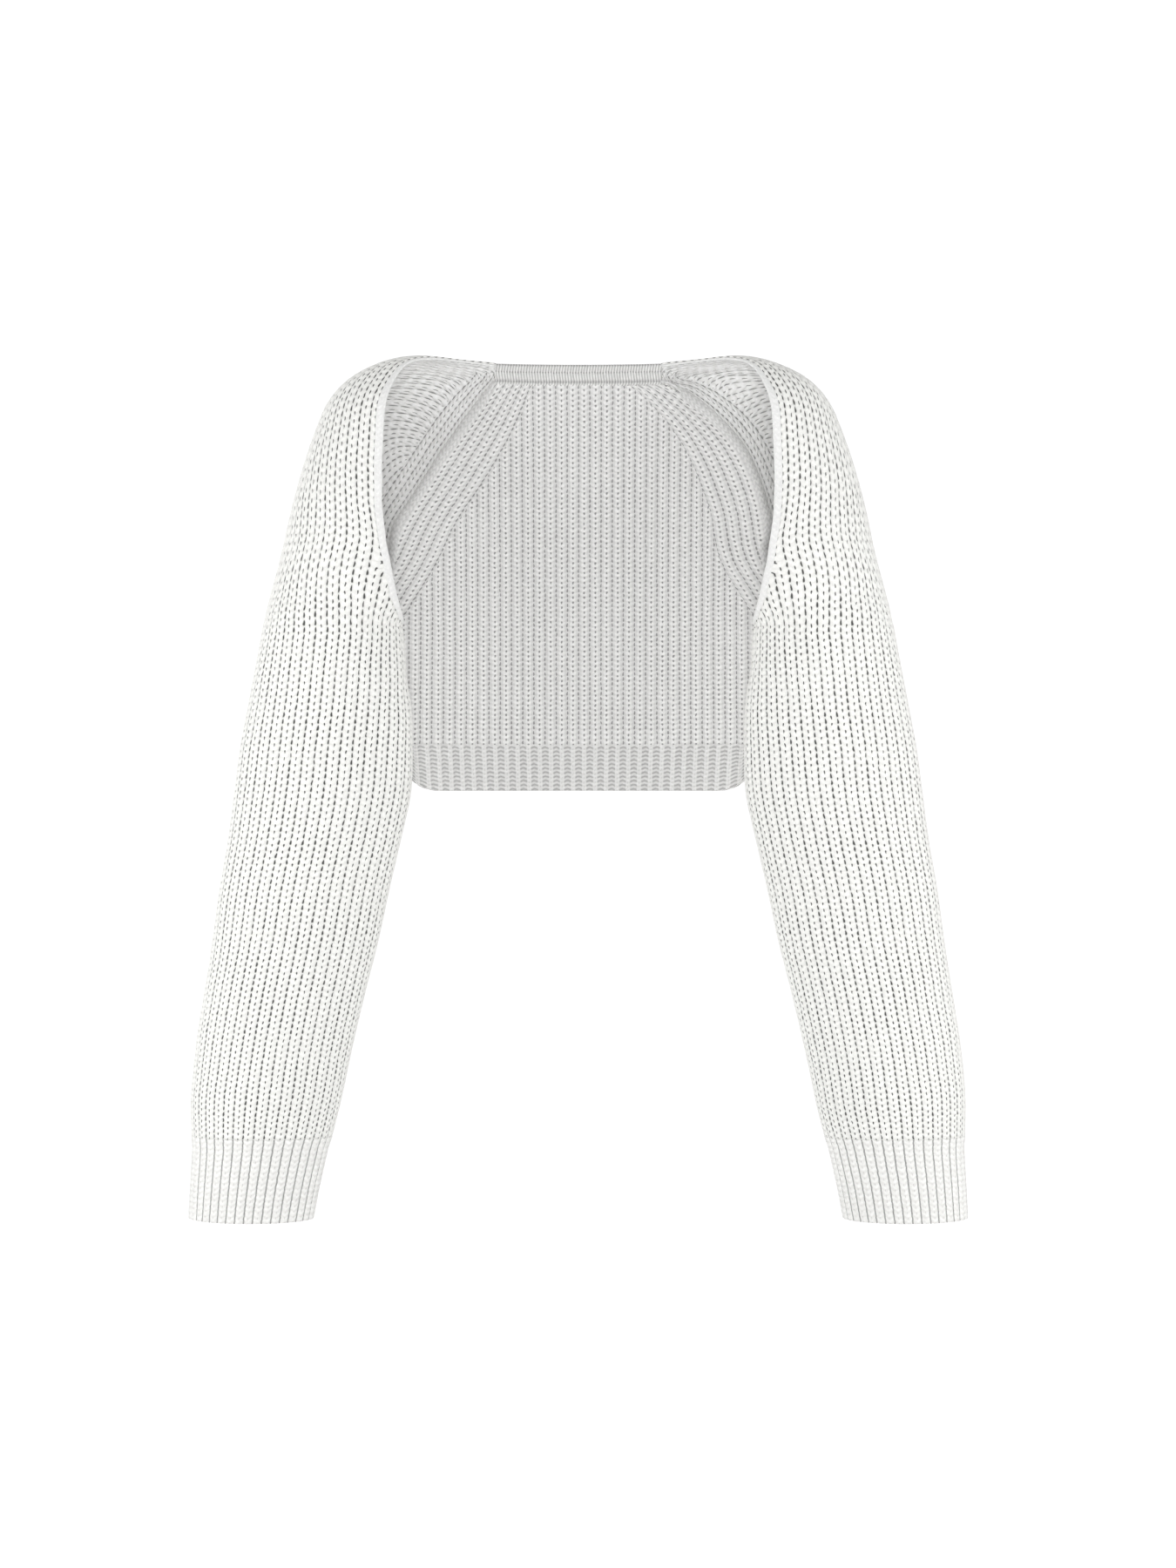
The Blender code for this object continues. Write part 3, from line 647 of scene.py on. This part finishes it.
def yarn(name, colour, shade, groove_shade, rib_holes, groove_holes, edge=0.32, depth=0.6,
         cleft_shade=0.72, groove_clefts=0.0, ladder=-9.0):
    """Knitted cloth: its colour, and how much of it is left as painted shade in the holes, grooves and
    clefts.

    edge is where a groove starts, and ladder the rib beside which holes are wide."""
    material = bpy.data.materials.new(name)
    material.use_nodes = True
    tree = material.node_tree
    spot = wire(tree, "ShaderNodeUVMap", {}, uv_map="knit")
    sizes = {"Map": spot.outputs[0], "Rib holes": rib_holes, "Groove holes": groove_holes,
             "Groove edge": edge, "Ladder": ladder}
    stitches = wire(tree, "ShaderNodeGroup", sizes, node_tree=group)
    place = wire(tree, "ShaderNodeTexCoord", {})
    wool = wire(tree, "ShaderNodeGroup", {"Place": place.outputs["Object"]}, node_tree=fuzz)
    light = (*(min(c * 1.06, 0.95) for c in colour), 1)
    # The darker end of the random tone, and the painted shade of the clefts and of the holes.
    dim, cleft_shade_colour, hole_shade_colour = ((*(c * part for c in colour), 1) for part in (0.90, cleft_shade, shade))
    warm = blend(tree, wool.outputs["Tint"], dim, light)
    cleft = maths(tree, "SUBTRACT", 1.0, stitches.outputs["Leg"])
    cleft_shaded = blend(tree, cleft, warm, cleft_shade_colour)
    # Painted shade in the sunken columns, deeper in their clefts where groove_clefts is set.
    groove_shade_level = maths(tree, "MULTIPLY_ADD", cleft, -groove_clefts, groove_shade)
    groove_shaded = blend(tree, stitches.outputs["Groove"], cleft_shaded, groove_shade_level, "MULTIPLY")
    # Painted shade in the holes.
    shaded_colour = blend(tree, maths(tree, "MULTIPLY", stitches.outputs["Hole"], 0.9), groove_shaded, hole_shade_colour)
    bulk = maths(tree, "MULTIPLY_ADD", wool.outputs["Fuzz"], 0.25, stitches.outputs["Height"])
    bump = wire(tree, "ShaderNodeBump", {"Height": bulk, "Strength": depth, "Distance": 0.9 * MM})
    fill(tree, tree.nodes["Principled BSDF"], {
        "Base Color": shaded_colour, "Normal": bump.outputs["Normal"], "Roughness": 0.92,
        "Specular IOR Level": 0.2, "Sheen Weight": 0.12, "Sheen Roughness": 0.5})
    return material


CREAM = yarn("cream_rib_knit", (0.89, 0.888, 0.862), 0.03, 0.92, 0.06, 0.08, cleft_shade=0.93, ladder=1.2)
# The back's inner face: the same cream yarn painted darker, as shade.
SHADE = yarn("back_rib_knit", (0.845, 0.84, 0.83), 0.34, 0.88, 0.085, 0.07, edge=0.20, cleft_shade=0.89)
# The sleeves' inner face: the same cream yarn painted lighter, as light, so that the open caps are not dim.
INSIDE_LIT = yarn("sleeve_inside_knit", (0.93, 0.925, 0.91), 0.34, 0.95, 0.06, 0.07, edge=0.30, cleft_shade=0.92)
# The neckband, and the inner faces of the hem and cuffs: the same cream yarn painted darker, as shade.
BAND = yarn("neckband_knit", (0.82, 0.815, 0.802), 0.5, 0.86, 0.05, 0.05, depth=0.7, cleft_shade=0.60)
HEM = yarn("hem_band_knit", (0.80, 0.795, 0.785), 0.7, 0.93, 0.02, 0.02, edge=0.15, cleft_shade=0.95,
           groove_clefts=0.42)
# The cuffs and the hem's outer face: the same cream yarn painted a little lighter, as light.
CUFF = yarn("cuff_knit", (0.91, 0.905, 0.882), 0.6, 0.30, 0.02, 0.02, edge=0.38, cleft_shade=0.91)
# The edge strips and seam ridges: the same cream yarn painted darker, as shade.
STRIP = yarn("slipped_edge_knit", (0.84, 0.84, 0.83), 0.9, 1.0, 0.03, 0.03, depth=0.25, cleft_shade=0.95)
RIDGE = yarn("linked_seam_yarn", (0.80, 0.797, 0.787), 0.8, 0.95, 0.05, 0.05, depth=0.5, cleft_shade=0.84)
print("materials:", [m.name for m in (CREAM, SHADE, INSIDE_LIT, BAND, HEM, CUFF, STRIP, RIDGE)])

# %% [markdown]
# ## Sleeves
# A sleeve is knitted from the cuff up. It is closed from the cuff to the
# armpit, and open above it, where it runs on over the shoulder to the neck.
# Its ribs run along the front edge. On the other side they meet a border of
# three ribs that stays parallel to the raglan seam, and each rib is dropped
# where it reaches that border. A bent cylinder could give the form, but
# not ribs that end one by one, so the sleeve is knitted row by row.

# %% [markdown]
# The knit is heavy, so it hangs in a few long soft creases: short ones beside
# the armhole where the sleeve swings back, and wide shallow ones down the
# arm, on the sides that face away as well. A cloth simulation can't be told
# where a crease should lie, so they are listed one by one. Each is a trough
# with its height, the way it faces round the arm in degrees (0 outwards, 90 to
# the front), how far round it reaches, how much it climbs, its half width and
# its depth.

# %% Creases
CREASES = {-1: [(-84, 95, 38, 9, 9, 0.5), (-112, 112, 42, 14, 8, 0.8), (-143, 122, 36, 10, 9, 0.9),
                (-171, 100, 48, -8, 11, 0.6), (-231, 132, 40, 16, 14, 0.8), (-305, 62, 42, 18, 19, 0.5),
                (-388, 108, 46, -14, 24, 0.8), (-468, 24, 40, 22, 21, 0.6), (-572, 78, 70, 6, 17, -1.3),
                (-138, -78, 46, -12, 12, 1.6), (-214, -104, 52, 12, 15, 1.8), (-322, -86, 44, -16, 18, 1.2),
                (-441, -72, 50, 14, 21, 1.5), (-556, -98, 44, -9, 16, 1.4), (-250, 178, 40, 20, 15, 1.3)],
           1: [(-96, 104, 40, 12, 9, 0.7), (-127, 88, 34, 8, 10, 0.5), (-158, 118, 44, 13, 9, 0.9),
               (-196, 96, 40, -10, 13, 0.6), (-262, 128, 44, 15, 15, 0.9), (-341, 70, 38, -18, 20, 0.5),
               (-430, 104, 50, 13, 23, 0.7), (-503, 40, 44, -20, 20, 0.7), (-578, 84, 66, -6, 16, -1.4),
               (-120, -84, 42, 12, 11, 1.5), (-189, -96, 54, -13, 15, 1.7), (-290, -80, 46, 15, 18, 1.4),
               (-402, -92, 48, -15, 22, 1.3), (-530, -76, 46, 10, 17, 1.5), (-236, -172, 42, -18, 15, 1.2)]}
CUFF_FADE = 12 * MM          # height over which creases fade in above the cuff
CREASE_TOP = -30 * MM
CREASE_FADE = 40 * MM


def fold_sleeve(points, side):
    """Lay the sleeve's creases into its points."""
    points = np.array(points)
    x, y, z = points.T
    inner, outer, middle_y, _ = (np.interp(z, TUBE["height"], TUBE[name]) for name in list(TUBE)[1:])
    away = np.stack([x - side * (inner + outer) / 2, y - middle_y, np.zeros_like(x)], axis=1)
    away /= np.linalg.norm(away, axis=1)[:, None]
    facing = np.degrees(np.arctan2(-away[:, 1], side * away[:, 0]))
    moved = np.zeros_like(z)
    for height, middle, reach, climb, width, depth in CREASES[side]:
        turn = (facing - middle + 180) % 360 - 180
        line = (height + climb * turn / reach) * MM
        moved -= depth * MM * np.exp(-(turn / reach) ** 2 - ((z - line) / (width * MM)) ** 2)
    moved *= np.clip((z - CUFF_TOP) / CUFF_FADE, 0, 1) * np.clip((CREASE_TOP - z) / CREASE_FADE, 0, 1)
    return points + away * moved[:, None]


print("creases on each sleeve:", len(CREASES[1]))

# %% Rows of the sleeve's tube
TUBE_COURSES = 80
SHORT_COURSE, LONG_COURSE = 0.88, 1.12
ROUND_KEYS = list(range(SLEEVE_RIBS * PER_RIB))


def even_ring(section):
    """Every column of a closed row, evenly spaced."""
    run = run_of(section)
    return at(section, run, run[-1] * np.array(ROUND_KEYS) / len(ROUND_KEYS))


def tube_levels():
    """Heights of the rows: short stitches at the cuff, longer ones above."""
    steps = np.linspace(SHORT_COURSE, LONG_COURSE, TUBE_COURSES * PER_COURSE)
    share = totals(steps) / steps.sum()
    return CUFF_TOP + share * (CAP["seam_z"][0] - CUFF_TOP)


print("rows of a tube:", len(tube_levels()) - 1)

# %% [markdown]
# Over the shoulder the courses fan out like the sticks of a fan: they lie
# close together on the raglan seam and far apart on the outside. Rows at one
# height each would cross the ribs at a slant there, so each row gets its own
# way over the cap.

# %% Rows of the cap
CAP_COURSES = 48
CAP_PLACES = 281
# Where a row of the cap lies, as places in the cap's table: on the raglan
# seam, and where it crosses the outside of the shoulder.
FAN_SEAM = [0, 4, 5, 6, 7, 8, 9, 10, 11, 12, 13, 14]
FAN_OUTSIDE = [0, 4.8, 5.9, 7.1, 8.3, 9.5, 10.7, 11.9, 12.8, 13.4, 13.8, 14]
FAN_REACH = 0.45              # share of the row over which it turns
EDGE_START = (2.0, 4.5)       # places between which the edge turns upwards
EDGE_SLOW = 0.12              # how little the level edge below that counts


def cap_surface(side):
    """Grid of points over the cap: places by even shares of each section."""
    places = np.linspace(0.0, len(CAP["seam_z"]) - 1.0, CAP_PLACES)
    shares = np.linspace(0.0, 1.0, ARC_POINTS)
    grid = []
    for place in places:
        section = cap_section(side, place)
        run = run_of(section)
        grid.append(at(section, run, run[-1] * shares))
    return places, shares, np.array(grid)


CAP_GRID = {side: cap_surface(side) for side in HANDS}


def cap_rows(side):
    """Rows of the cap: they fan out from the raglan seam over the shoulder."""
    places, shares, grid = CAP_GRID[side]
    seam = run_of(grid[:, 0])
    low, high = EDGE_START
    ease = np.clip((places[1:] - low) / (high - low), EDGE_SLOW, 1.0)
    edge = totals(np.diff(run_of(grid[:, -1])) * ease)
    turn = np.sin(np.clip(shares / FAN_REACH, 0, 1) * math.pi / 2)
    far = np.clip((shares - FAN_REACH) / (1 - FAN_REACH), 0, 1)
    far = far * far * (3 - 2 * far)
    span = np.arange(len(shares))
    rows = []
    for share in np.linspace(0.0, 1.0, CAP_COURSES * PER_COURSE + 1)[1:]:
        on_seam = np.interp(share * seam[-1], seam, places)
        on_edge = np.interp(share * edge[-1], edge, places)
        outside = np.interp(on_seam, FAN_SEAM, FAN_OUTSIDE)
        place = on_seam + (outside - on_seam) * turn + (on_edge - outside) * far
        index = np.clip(np.searchsorted(places, place) - 1, 0, len(places) - 2)
        part = ((place - places[index]) / (places[1] - places[0]))[:, None]
        rows.append((on_edge, grid[index, span] * (1 - part) + grid[index + 1, span] * part))
    return rows


print("rows of a cap:", len(cap_rows(1)))

# %% [markdown]
# A knitter's column of stitches runs straight on from row to row. Each row's
# columns are therefore led on from the row below, and then spaced out, which
# keeps kinks out of the ribs where the tube opens into the cap.

# %% Lead the columns on
FOLLOW = 0.93                 # how far a column goes straight on from the row below
FOLLOW_FADE = 1.6             # places above the turn over which that fades
LEAST_GAP = 0.4               # of an even gap, kept between columns


def nearest(line, run, points):
    """Places along a line that lie nearest to the points."""
    start = line[:-1]
    step = np.diff(line, axis=0)
    part = np.einsum("pij,ij->pi", points[:, None] - start, step) / (step ** 2).sum(axis=1)
    part = np.clip(part, 0, 1)
    gap = np.linalg.norm(start + part[..., None] * step - points[:, None], axis=2)
    best = gap.argmin(axis=1)
    return run[best] + part[np.arange(len(points)), best] * np.diff(run)[best]


def straighten(row, run, wanted, keys, below, follow):
    """Lead the columns on from the row below, and space them out."""
    wanted = np.array(wanted, dtype=float)
    shared = [i for i, key in enumerate(keys) if key in below]
    straight = nearest(row, run, np.array([below[keys[i]] for i in shared]))
    wanted[shared] += follow * (straight - wanted[shared])
    wanted[0], wanted[-1] = 0.0, run[-1]
    least = LEAST_GAP * run[-1] / len(keys)
    gaps = np.maximum(np.diff(np.maximum.accumulate(wanted)), least)
    places = totals(gaps)
    return places * run[-1] / places[-1]


print("least gap between columns:", LEAST_GAP)

# %% Knit the two sleeves
BORDER_RIBS = 3
EDGE_ROOM = 0.6               # columns kept free between the border and the front ribs
RIB_RISE = 1.25 * MM
# The way out of the cloth at the underarm, where each sleeve and cuff starts.
TO_SEAM = {side: np.array([-side, 0.3, 0.0]) for side in HANDS}


def knit_sleeve(side):
    """Rows of a sleeve from its cuff to the neck."""
    sleeve = Knit()
    course = 0.0
    armpit = cap_section(side, 0)
    for section in [tube_section(side, z) for z in tube_levels()[:-1]] + [armpit]:
        ring = even_ring(section)
        sleeve.add_row(ROUND_KEYS, ring, course, closed=True)
        course += 1 / PER_COURSE
    below = dict(zip(ROUND_KEYS, ring))
    last = len(ROUND_KEYS)
    step = run_of(armpit)[-1] / last
    for on_edge, row in cap_rows(side):
        run = run_of(row)
        whole = run[-1]
        if on_edge <= TURN_ROW:
            last = min(last, max(2, round(whole / step)))
            keys = np.arange(last + 1)
            wanted = whole * keys / last
        else:
            border = int(min(BORDER_RIBS * PER_RIB, whole / step / 2))
            kept = int(max(0, whole / step - border - EDGE_ROOM))
            side_keys = np.arange(border + 1)
            edge_keys = np.arange(max(last - kept, border + 1), last + 1)
            keys = np.concatenate([side_keys, edge_keys])
            wanted = np.concatenate([side_keys * step, whole - (last - edge_keys) * step])
        follow = FOLLOW * math.exp(-(max(0.0, on_edge - TURN_ROW) / FOLLOW_FADE) ** 2)
        spots = at(row, run, straighten(row, run, wanted, keys.tolist(), below, follow))
        sleeve.add_row(keys.tolist(), spots, course)
        below = dict(zip(keys.tolist(), spots))
        course += 1 / PER_COURSE
    return sleeve


knitted = {}
for side, hand in HANDS.items():
    sleeve = knit_sleeve(side)
    sleeve.points = fold_sleeve(sleeve.points, side)
    knitted["sleeve_" + hand] = knit_wall(
        "sleeve_knit_" + hand, sleeve, TO_SEAM[side], RIB_RISE, (CREAM, INSIDE_LIT),
        STRETCHED, TUBE_COURSES * PER_COURSE)

# %% [markdown]
# ## Back and hem
# The back is one flat panel of upright ribs between the two raglan seams.
# A border of four ribs follows each seam, and the upright ribs die into it.
# A grid of faces cut to shape would leave cut stitches along the seams, so
# each row lays its own border columns and fills the upright ones between.

# %% Edges of the back
LINE_REACH = 17 * MM         # how far up and down the border evens out
SEAM_PLACES = np.linspace(0.0, len(CAP["seam_z"]) - 1.0, 2 * CAP_PLACES - 1)
SEAM_HEIGHTS = [cap_value("seam_z", place) for place in SEAM_PLACES]


def edge_at(side, z):
    """Half width of the back at one height."""
    if z < CAP["seam_z"][1]:
        return column(FREE_EDGE, "half_width", z)
    place = float(np.interp(z, SEAM_HEIGHTS, SEAM_PLACES))
    return raglan_x(side, cap_value("seam_x", place), z) - SEAM_GAP / 2


def border_line(side, z, border):
    """Inner side of the raglan border, which evens out the seam's bends."""
    reach = max(0.0, min(LINE_REACH, CAP["seam_z"][-1] - z, z - BORDER["height"][0]))
    edges = [edge_at(side, z + shift * reach) for shift in (-1, -0.5, 0, 0.5, 1)]
    return sum(edges) / len(edges) - border


print("half width at the hem in mm:", round(edge_at(1, HEM_TOP) / MM, 1))

# %% Knit the back
BACK_COURSE = 4.0 * MM
BORDER_RIBS_BACK = 4
BORDER_FULL = -112 * MM      # below this height the seam cuts into the border
BORDER_KEY = 100 * PER_RIB   # first column number of a border
EDGE_KEY = 200 * PER_RIB     # column number of the outermost column
EDGE_GAP, HALF_GAP = 0.4, 0.5    # columns kept free beside the edge and beside a border


def knit_back():
    """Rows of the back from the hem to the neck."""
    back = Knit()
    top = CAP["seam_z"][-1]
    rows = round((top - HEM_TOP) / BACK_COURSE) * PER_COURSE
    step = RIB_PITCH / PER_RIB
    for index, z in enumerate(np.linspace(HEM_TOP + SEAM_GAP, top, rows + 1)):
        border = column(BORDER, "width", z) if z > BORDER["height"][0] else 0.0
        full = column(BORDER, "width", max(z, BORDER_FULL))
        narrow = full / (BORDER_RIBS_BACK * PER_RIB)
        spots, limits = [], []       # spots are (place, column number)
        for side in HANDS:
            edge = edge_at(side, z)
            line = border_line(side, z, border) if border else edge
            limits.append(line)
            count = int((edge - line) / narrow - EDGE_GAP) if border > narrow else 0
            for i in range(count + 1 if border else 0):
                spots.append((side * (line + i * narrow), side * (BORDER_KEY + i)))
            spots.append((side * edge, side * EDGE_KEY))
        most = int(max(limits) / step) + 1
        low, high = HALF_GAP * step - limits[0], limits[1] - HALF_GAP * step
        spots += [(j * step, j) for j in range(-most, most + 1) if low < j * step < high]
        spots.sort()
        points = [(x, back_depth(x, z), z) for x, key in spots]
        back.add_row([key for x, key in spots], points, index / PER_COURSE)
    return back


# Soft troughs in the back: across, height, lean from upright in degrees, half
# length, half width and depth. The long level swell lies above the drawn hem.
BACK_CREASES = [(118, -166, 24, 52, 9, 1.8), (97, -200, 33, 58, 11, 1.5), (-124, -176, -21, 48, 9, 1.6),
                (-99, -218, -36, 52, 12, 1.2), (6, -287, 90, 112, 8, -1.8), (64, -118, 7, 66, 14, 0.9),
                (-42, -236, -5, 60, 16, 0.9), (14, -66, 12, 40, 13, 0.7)]


def fold_back(points):
    """Lay the back's creases into its points."""
    points = np.array(points)
    x, y, z = points.T / MM
    for across, height, lean, length, width, depth in BACK_CREASES:
        c, s = math.cos(math.radians(lean)), math.sin(math.radians(lean))
        along = (z - height) * c + (x - across) * s
        beside = (x - across) * c - (z - height) * s
        points[:, 1] += depth * MM * np.exp(-(along / length) ** 2 - (beside / width) ** 2)
    return points


back = knit_back()
back.points = fold_back(back.points)
knitted["back_panel"] = knit_wall("back_knit", back, np.array([0, 1, 0]), RIB_RISE, (CREAM, SHADE))

# %% [markdown]
# The hem is knitted on with tighter ribs, and its lower corners are rounded.
# Its rows keep all their columns and bend up at the ends, as real courses do.

# %% Knit the hem band
HEM_COURSES = 11
HEM_RISE = 1.4 * MM


def knit_hem():
    """Rows of the hem band from its lower edge up."""
    hem = Knit()
    step = RIB_PITCH / PER_RIB
    top_half = column(FREE_EDGE, "half_width", HEM_TOP)
    count = int(top_half / step)
    for index, down in enumerate(np.linspace(1.0, 0.0, HEM_COURSES * PER_COURSE + 1)):
        z = HEM_TOP - down * HEM_DROP
        narrow = column(FREE_EDGE, "half_width", z) / top_half
        points = []
        for j in range(-count, count + 1):
            x = j * step * narrow
            near = max(0.0, abs(x) - (count * step * narrow - HEM_CORNER)) / HEM_CORNER
            lift = HEM_LIFT * (1 - math.sqrt(max(0.0, 1 - min(near, 1.0) ** 2)))
            level = z + down * lift
            points.append((x, back_depth(x, level), level))
        hem.add_row(list(range(-count, count + 1)), points, index / PER_COURSE)
    return hem


hem = knit_hem()
hem.points = fold_back(hem.points)
knitted["hem_band"] = knit_wall("hem_knit", hem, np.array([0, 1, 0]), HEM_RISE, (CUFF, HEM))

# %% [markdown]
# ## Cuffs
# The cuff has the sleeve's ribs again, knitted on smaller needles, so they
# stand closer and deeper. It could be part of the sleeve, but its stitches
# and tension differ, so it is its own tube. It is drawn in a little at once
# and hangs a little lower at the front.

# %% Knit the cuffs
CUFF_COURSES = 15
CUFF_RISE = 1.6 * MM
DRAW_AT_TOP, DRAW = 0.2 * MM, 1.0 * MM
DRAW_FULL = 8                 # the draw is full an eighth of the way down


def knit_cuff(side):
    """Rows of a cuff from its mouth up."""
    cuff = Knit()
    for index, down in enumerate(np.linspace(1.0, 0.0, CUFF_COURSES * PER_COURSE + 1)):
        z = CUFF_TOP - SEAM_GAP + down * (CUFF_BOTTOM - CUFF_TOP)
        ring = even_ring(tube_section(side, z))
        centre = ring.mean(axis=0)
        away = ring - centre
        draw = DRAW_AT_TOP + (DRAW - DRAW_AT_TOP) * min(down * DRAW_FULL, 1.0)
        ring = centre + away * (1 - draw / np.linalg.norm(away, axis=1)[:, None])
        ring[:, 2] -= CUFF_SAG * np.clip(-away[:, 1] / CUFF_HALF_DEPTH, 0, 1) * down
        cuff.add_row(ROUND_KEYS, ring, index / PER_COURSE, closed=True)
    return cuff


for side, hand in HANDS.items():
    knitted["cuff_" + hand] = knit_wall(
        "cuff_knit_" + hand, knit_cuff(side), TO_SEAM[side], CUFF_RISE, (CUFF, HEM))

# %% [markdown]
# ## Neckband, edges and seams
# The neckband is a smooth band folded double. Each front edge ends in a
# slipped-stitch strip, a smooth roll that keeps the rib from curling, and
# the raglan seam is linked on the inside, where it stands up as a round
# ridge. All of them are bands drawn along a line. A bevelled curve would give
# each one thickness and turn where the line turns, so one loft makes them.

# %% Loft a band
RIBS_ROUND = 4                # ribs of the knit map round a band


def loft(name, rings, courses, finish):
    """Closed solid through rings of points, with its knit map."""
    rings = np.array(rings)
    count, around = rings.shape[:2]
    points = list(rings.reshape(-1, 3))
    faces, corners = [], []
    for ring in range(count - 1):
        for i in range(around):
            here, beside = ring * around + i, ring * around + (i + 1) % around
            faces.append((here, beside, beside + around, here + around))
            low, high = courses[ring], courses[ring + 1]
            left, right = i / around * RIBS_ROUND, (i + 1) / around * RIBS_ROUND
            corners += [left, low, right, low, right, high, left, high]
    for ring, turn in ((0, -1), (count - 1, 1)):
        middle = len(points)
        points.append(rings[ring].mean(axis=0))
        for i in range(around):
            pair = (ring * around + i, ring * around + (i + 1) % around)
            faces.append((pair[0], pair[1], middle)[::turn])
            corners += [0.0, courses[ring]] * 3
    return make_object(name, points, faces, corners, [finish], math.pi)


def unit(vector):
    return vector / np.linalg.norm(vector)


def rounded(outline, sides):
    """Closed smooth outline through (across, out) corners, in metres."""
    ring = np.array(outline) * MM
    count = len(ring)
    made = []
    for k in range(sides):
        place = k / sides * count
        i, f = int(place), place - int(place)
        a, b, c, d = (ring[(i + n - 1) % count] for n in range(4))
        made.append(0.5 * (2 * b + (c - a) * f + (2 * a - 5 * b + 4 * c - d) * f ** 2
                           + (3 * b - a - 3 * c + d) * f ** 3))
    return made


print("ribs of the map round a band:", RIBS_ROUND)

# %% Outlines and sizes of the bands
STRIP_OUTLINE = [(-1.2, -0.9), (-1.2, 1.0), (1.4, 1.4), (4.2, 1.3), (6.0, 0.8), (6.6, 0.0),
                 (6.0, -0.8), (4.0, -1.1), (1.4, -1.1)]
RIDGE_OUTLINE = [(-4.4, -0.6), (-3.4, -2.4), (-1.4, -3.3), (1.4, -3.3), (3.4, -2.4), (4.4, -0.6)]
BAND_STATIONS = 110
BAND_SIDES = 18
BAND_COURSE = 5.0 * MM
BESIDE = 9                    # grid points between an edge and the cloth beside it
CALM = 3                      # stations on each side over which a band's tilt evens out
# How wide and how thick the bands are along their length, from the armpit up.
STRIP_SIZES = ([0, 0.10, 0.24, 0.66, 0.80, 1.0], [0.3, 0.4, 1, 1, 0.45, 0.3], [0.6, 0.7, 1, 1, 0.8, 0.6])
RIDGE_SIZES = ([0, 0.08, 0.94, 1.0], [0.6, 1, 1, 0.7], [0.6, 1, 1, 0.8])


def seam_line(side, end):
    """Even points along one end of the cap, and the way out of the cloth there."""
    grid = CAP_GRID[side][2]
    line = grid[:, end]
    beside = grid[:, BESIDE if end == 0 else -1 - BESIDE]
    run = run_of(line)
    wanted = np.linspace(0.0, run[-1], BAND_STATIONS)
    points = at(line, run, wanted)
    lifts = np.cross(np.gradient(points, axis=0), at(beside, run, wanted) - points)
    return points, lifts / np.linalg.norm(lifts, axis=1)[:, None]


def eased(values, reach):
    """Running mean along a line, for a calm band."""
    padded = np.pad(values, ((reach, reach), (0, 0)), mode="edge")
    return np.array([padded[i:i + 2 * reach + 1].mean(axis=0) for i in range(len(values))])


def band(name, side, end, outline, widths, finish):
    """Band along the front edge or the raglan seam of a sleeve."""
    way = side if end == 0 else -side
    points, lifts = seam_line(side, end)
    lifts = eased(lifts * way, CALM)
    points = fold_sleeve(points, side)
    run = run_of(points)
    rings = []
    for i, (share, point) in enumerate(zip(run / run[-1], points)):
        ahead = unit(points[min(i + 1, len(points) - 1)] - points[max(i - 1, 0)])
        lift = unit(lifts[i] - ahead * (lifts[i] @ ahead))
        width, thick = (np.interp(share, widths[0], sizes) for sizes in widths[1:])
        across = np.cross(ahead, lift) * way * width
        rings.append([point + a * across + o * thick * lift for a, o in rounded(outline, BAND_SIDES)])
    return loft(name, rings, list(run / BAND_COURSE), finish)


for side, hand in HANDS.items():
    knitted["front_edge_" + hand] = band("edge_strip_" + hand, side, -1, STRIP_OUTLINE, STRIP_SIZES, STRIP)
    knitted["raglan_seam_" + hand] = band("seam_ridge_" + hand, side, 0, RIDGE_OUTLINE, RIDGE_SIZES, RIDGE)

# %% The neckband
# It is folded double, and its lower edge is linked over the first course.
FRONT_FOLD = [(-0.5, -9), (-1.5, -7.4), (-1.8, -3), (-1.8, 3), (-1.5, 7)]
NECK_OUTLINE = FRONT_FOLD + [(0, 8.2)] + [(-across, up) for across, up in FRONT_FOLD[::-1]]
NECK_OVER = 1.0 * MM          # how far the band reaches past each shoulder seam
NECK_STATIONS = 133
NECK_SIDES = 26
NECK_COURSE = 2.2 * MM
rings = []
neck_xs = np.linspace(-NECK_HALF - NECK_OVER, NECK_HALF + NECK_OVER, NECK_STATIONS)
for x in neck_xs:
    rings.append([(x, back_depth(x, NECK_BOTTOM) + y, z) for y, z in rounded(NECK_OUTLINE, NECK_SIDES)])
knitted["neckband"] = loft("neckband_knit", rings, list(neck_xs / NECK_COURSE), BAND)

# %% [markdown]
# ## What each piece stands for
# Every knitted piece takes the place of its plain solid and moves with the
# one body; the table lists the flat cut that it was knitted to.

# %% Places, finishes and flat cuts
# Finish, flat width and length in metres, share of that rectangle, and the
# piece that carries this one (of the same hand where the name is open).
CUTS = {"sleeve": ("cream_rib_knit", 0.335, 0.70, 0.80, "back_knit"),
        "back": ("back_rib_knit", 0.335, 0.30, 0.86, "neckband_knit"),
        "hem": ("hem_band_knit", 0.29, 0.038, 0.97, "back_knit"),
        "cuff": ("cuff_knit", 0.27, 0.065, 1.0, "sleeve_knit_"),
        "neckband": ("neckband_knit", 0.14, 0.016, 1.0, "back_knit"),
        "front": ("slipped_edge_knit", 0.0102, 0.33, 1.0, "sleeve_knit_"),
        "raglan": ("linked_seam_yarn", 0.0102, 0.25, 1.0, "sleeve_knit_")}
for node, piece in knitted.items():
    kind, hand = node.split("_")[0], node.split("_")[-1]
    finish, width, length, share, carrier = CUTS[kind]
    carrier += hand if carrier.endswith("_") else ""
    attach(piece, "root")
    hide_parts(node)
print("pieces with a flat cut:", len(knitted))

# %% [markdown]
# ## Last look
# The scene is brought up to date at the end.

# %% Update the scene
bpy.context.view_layer.update()
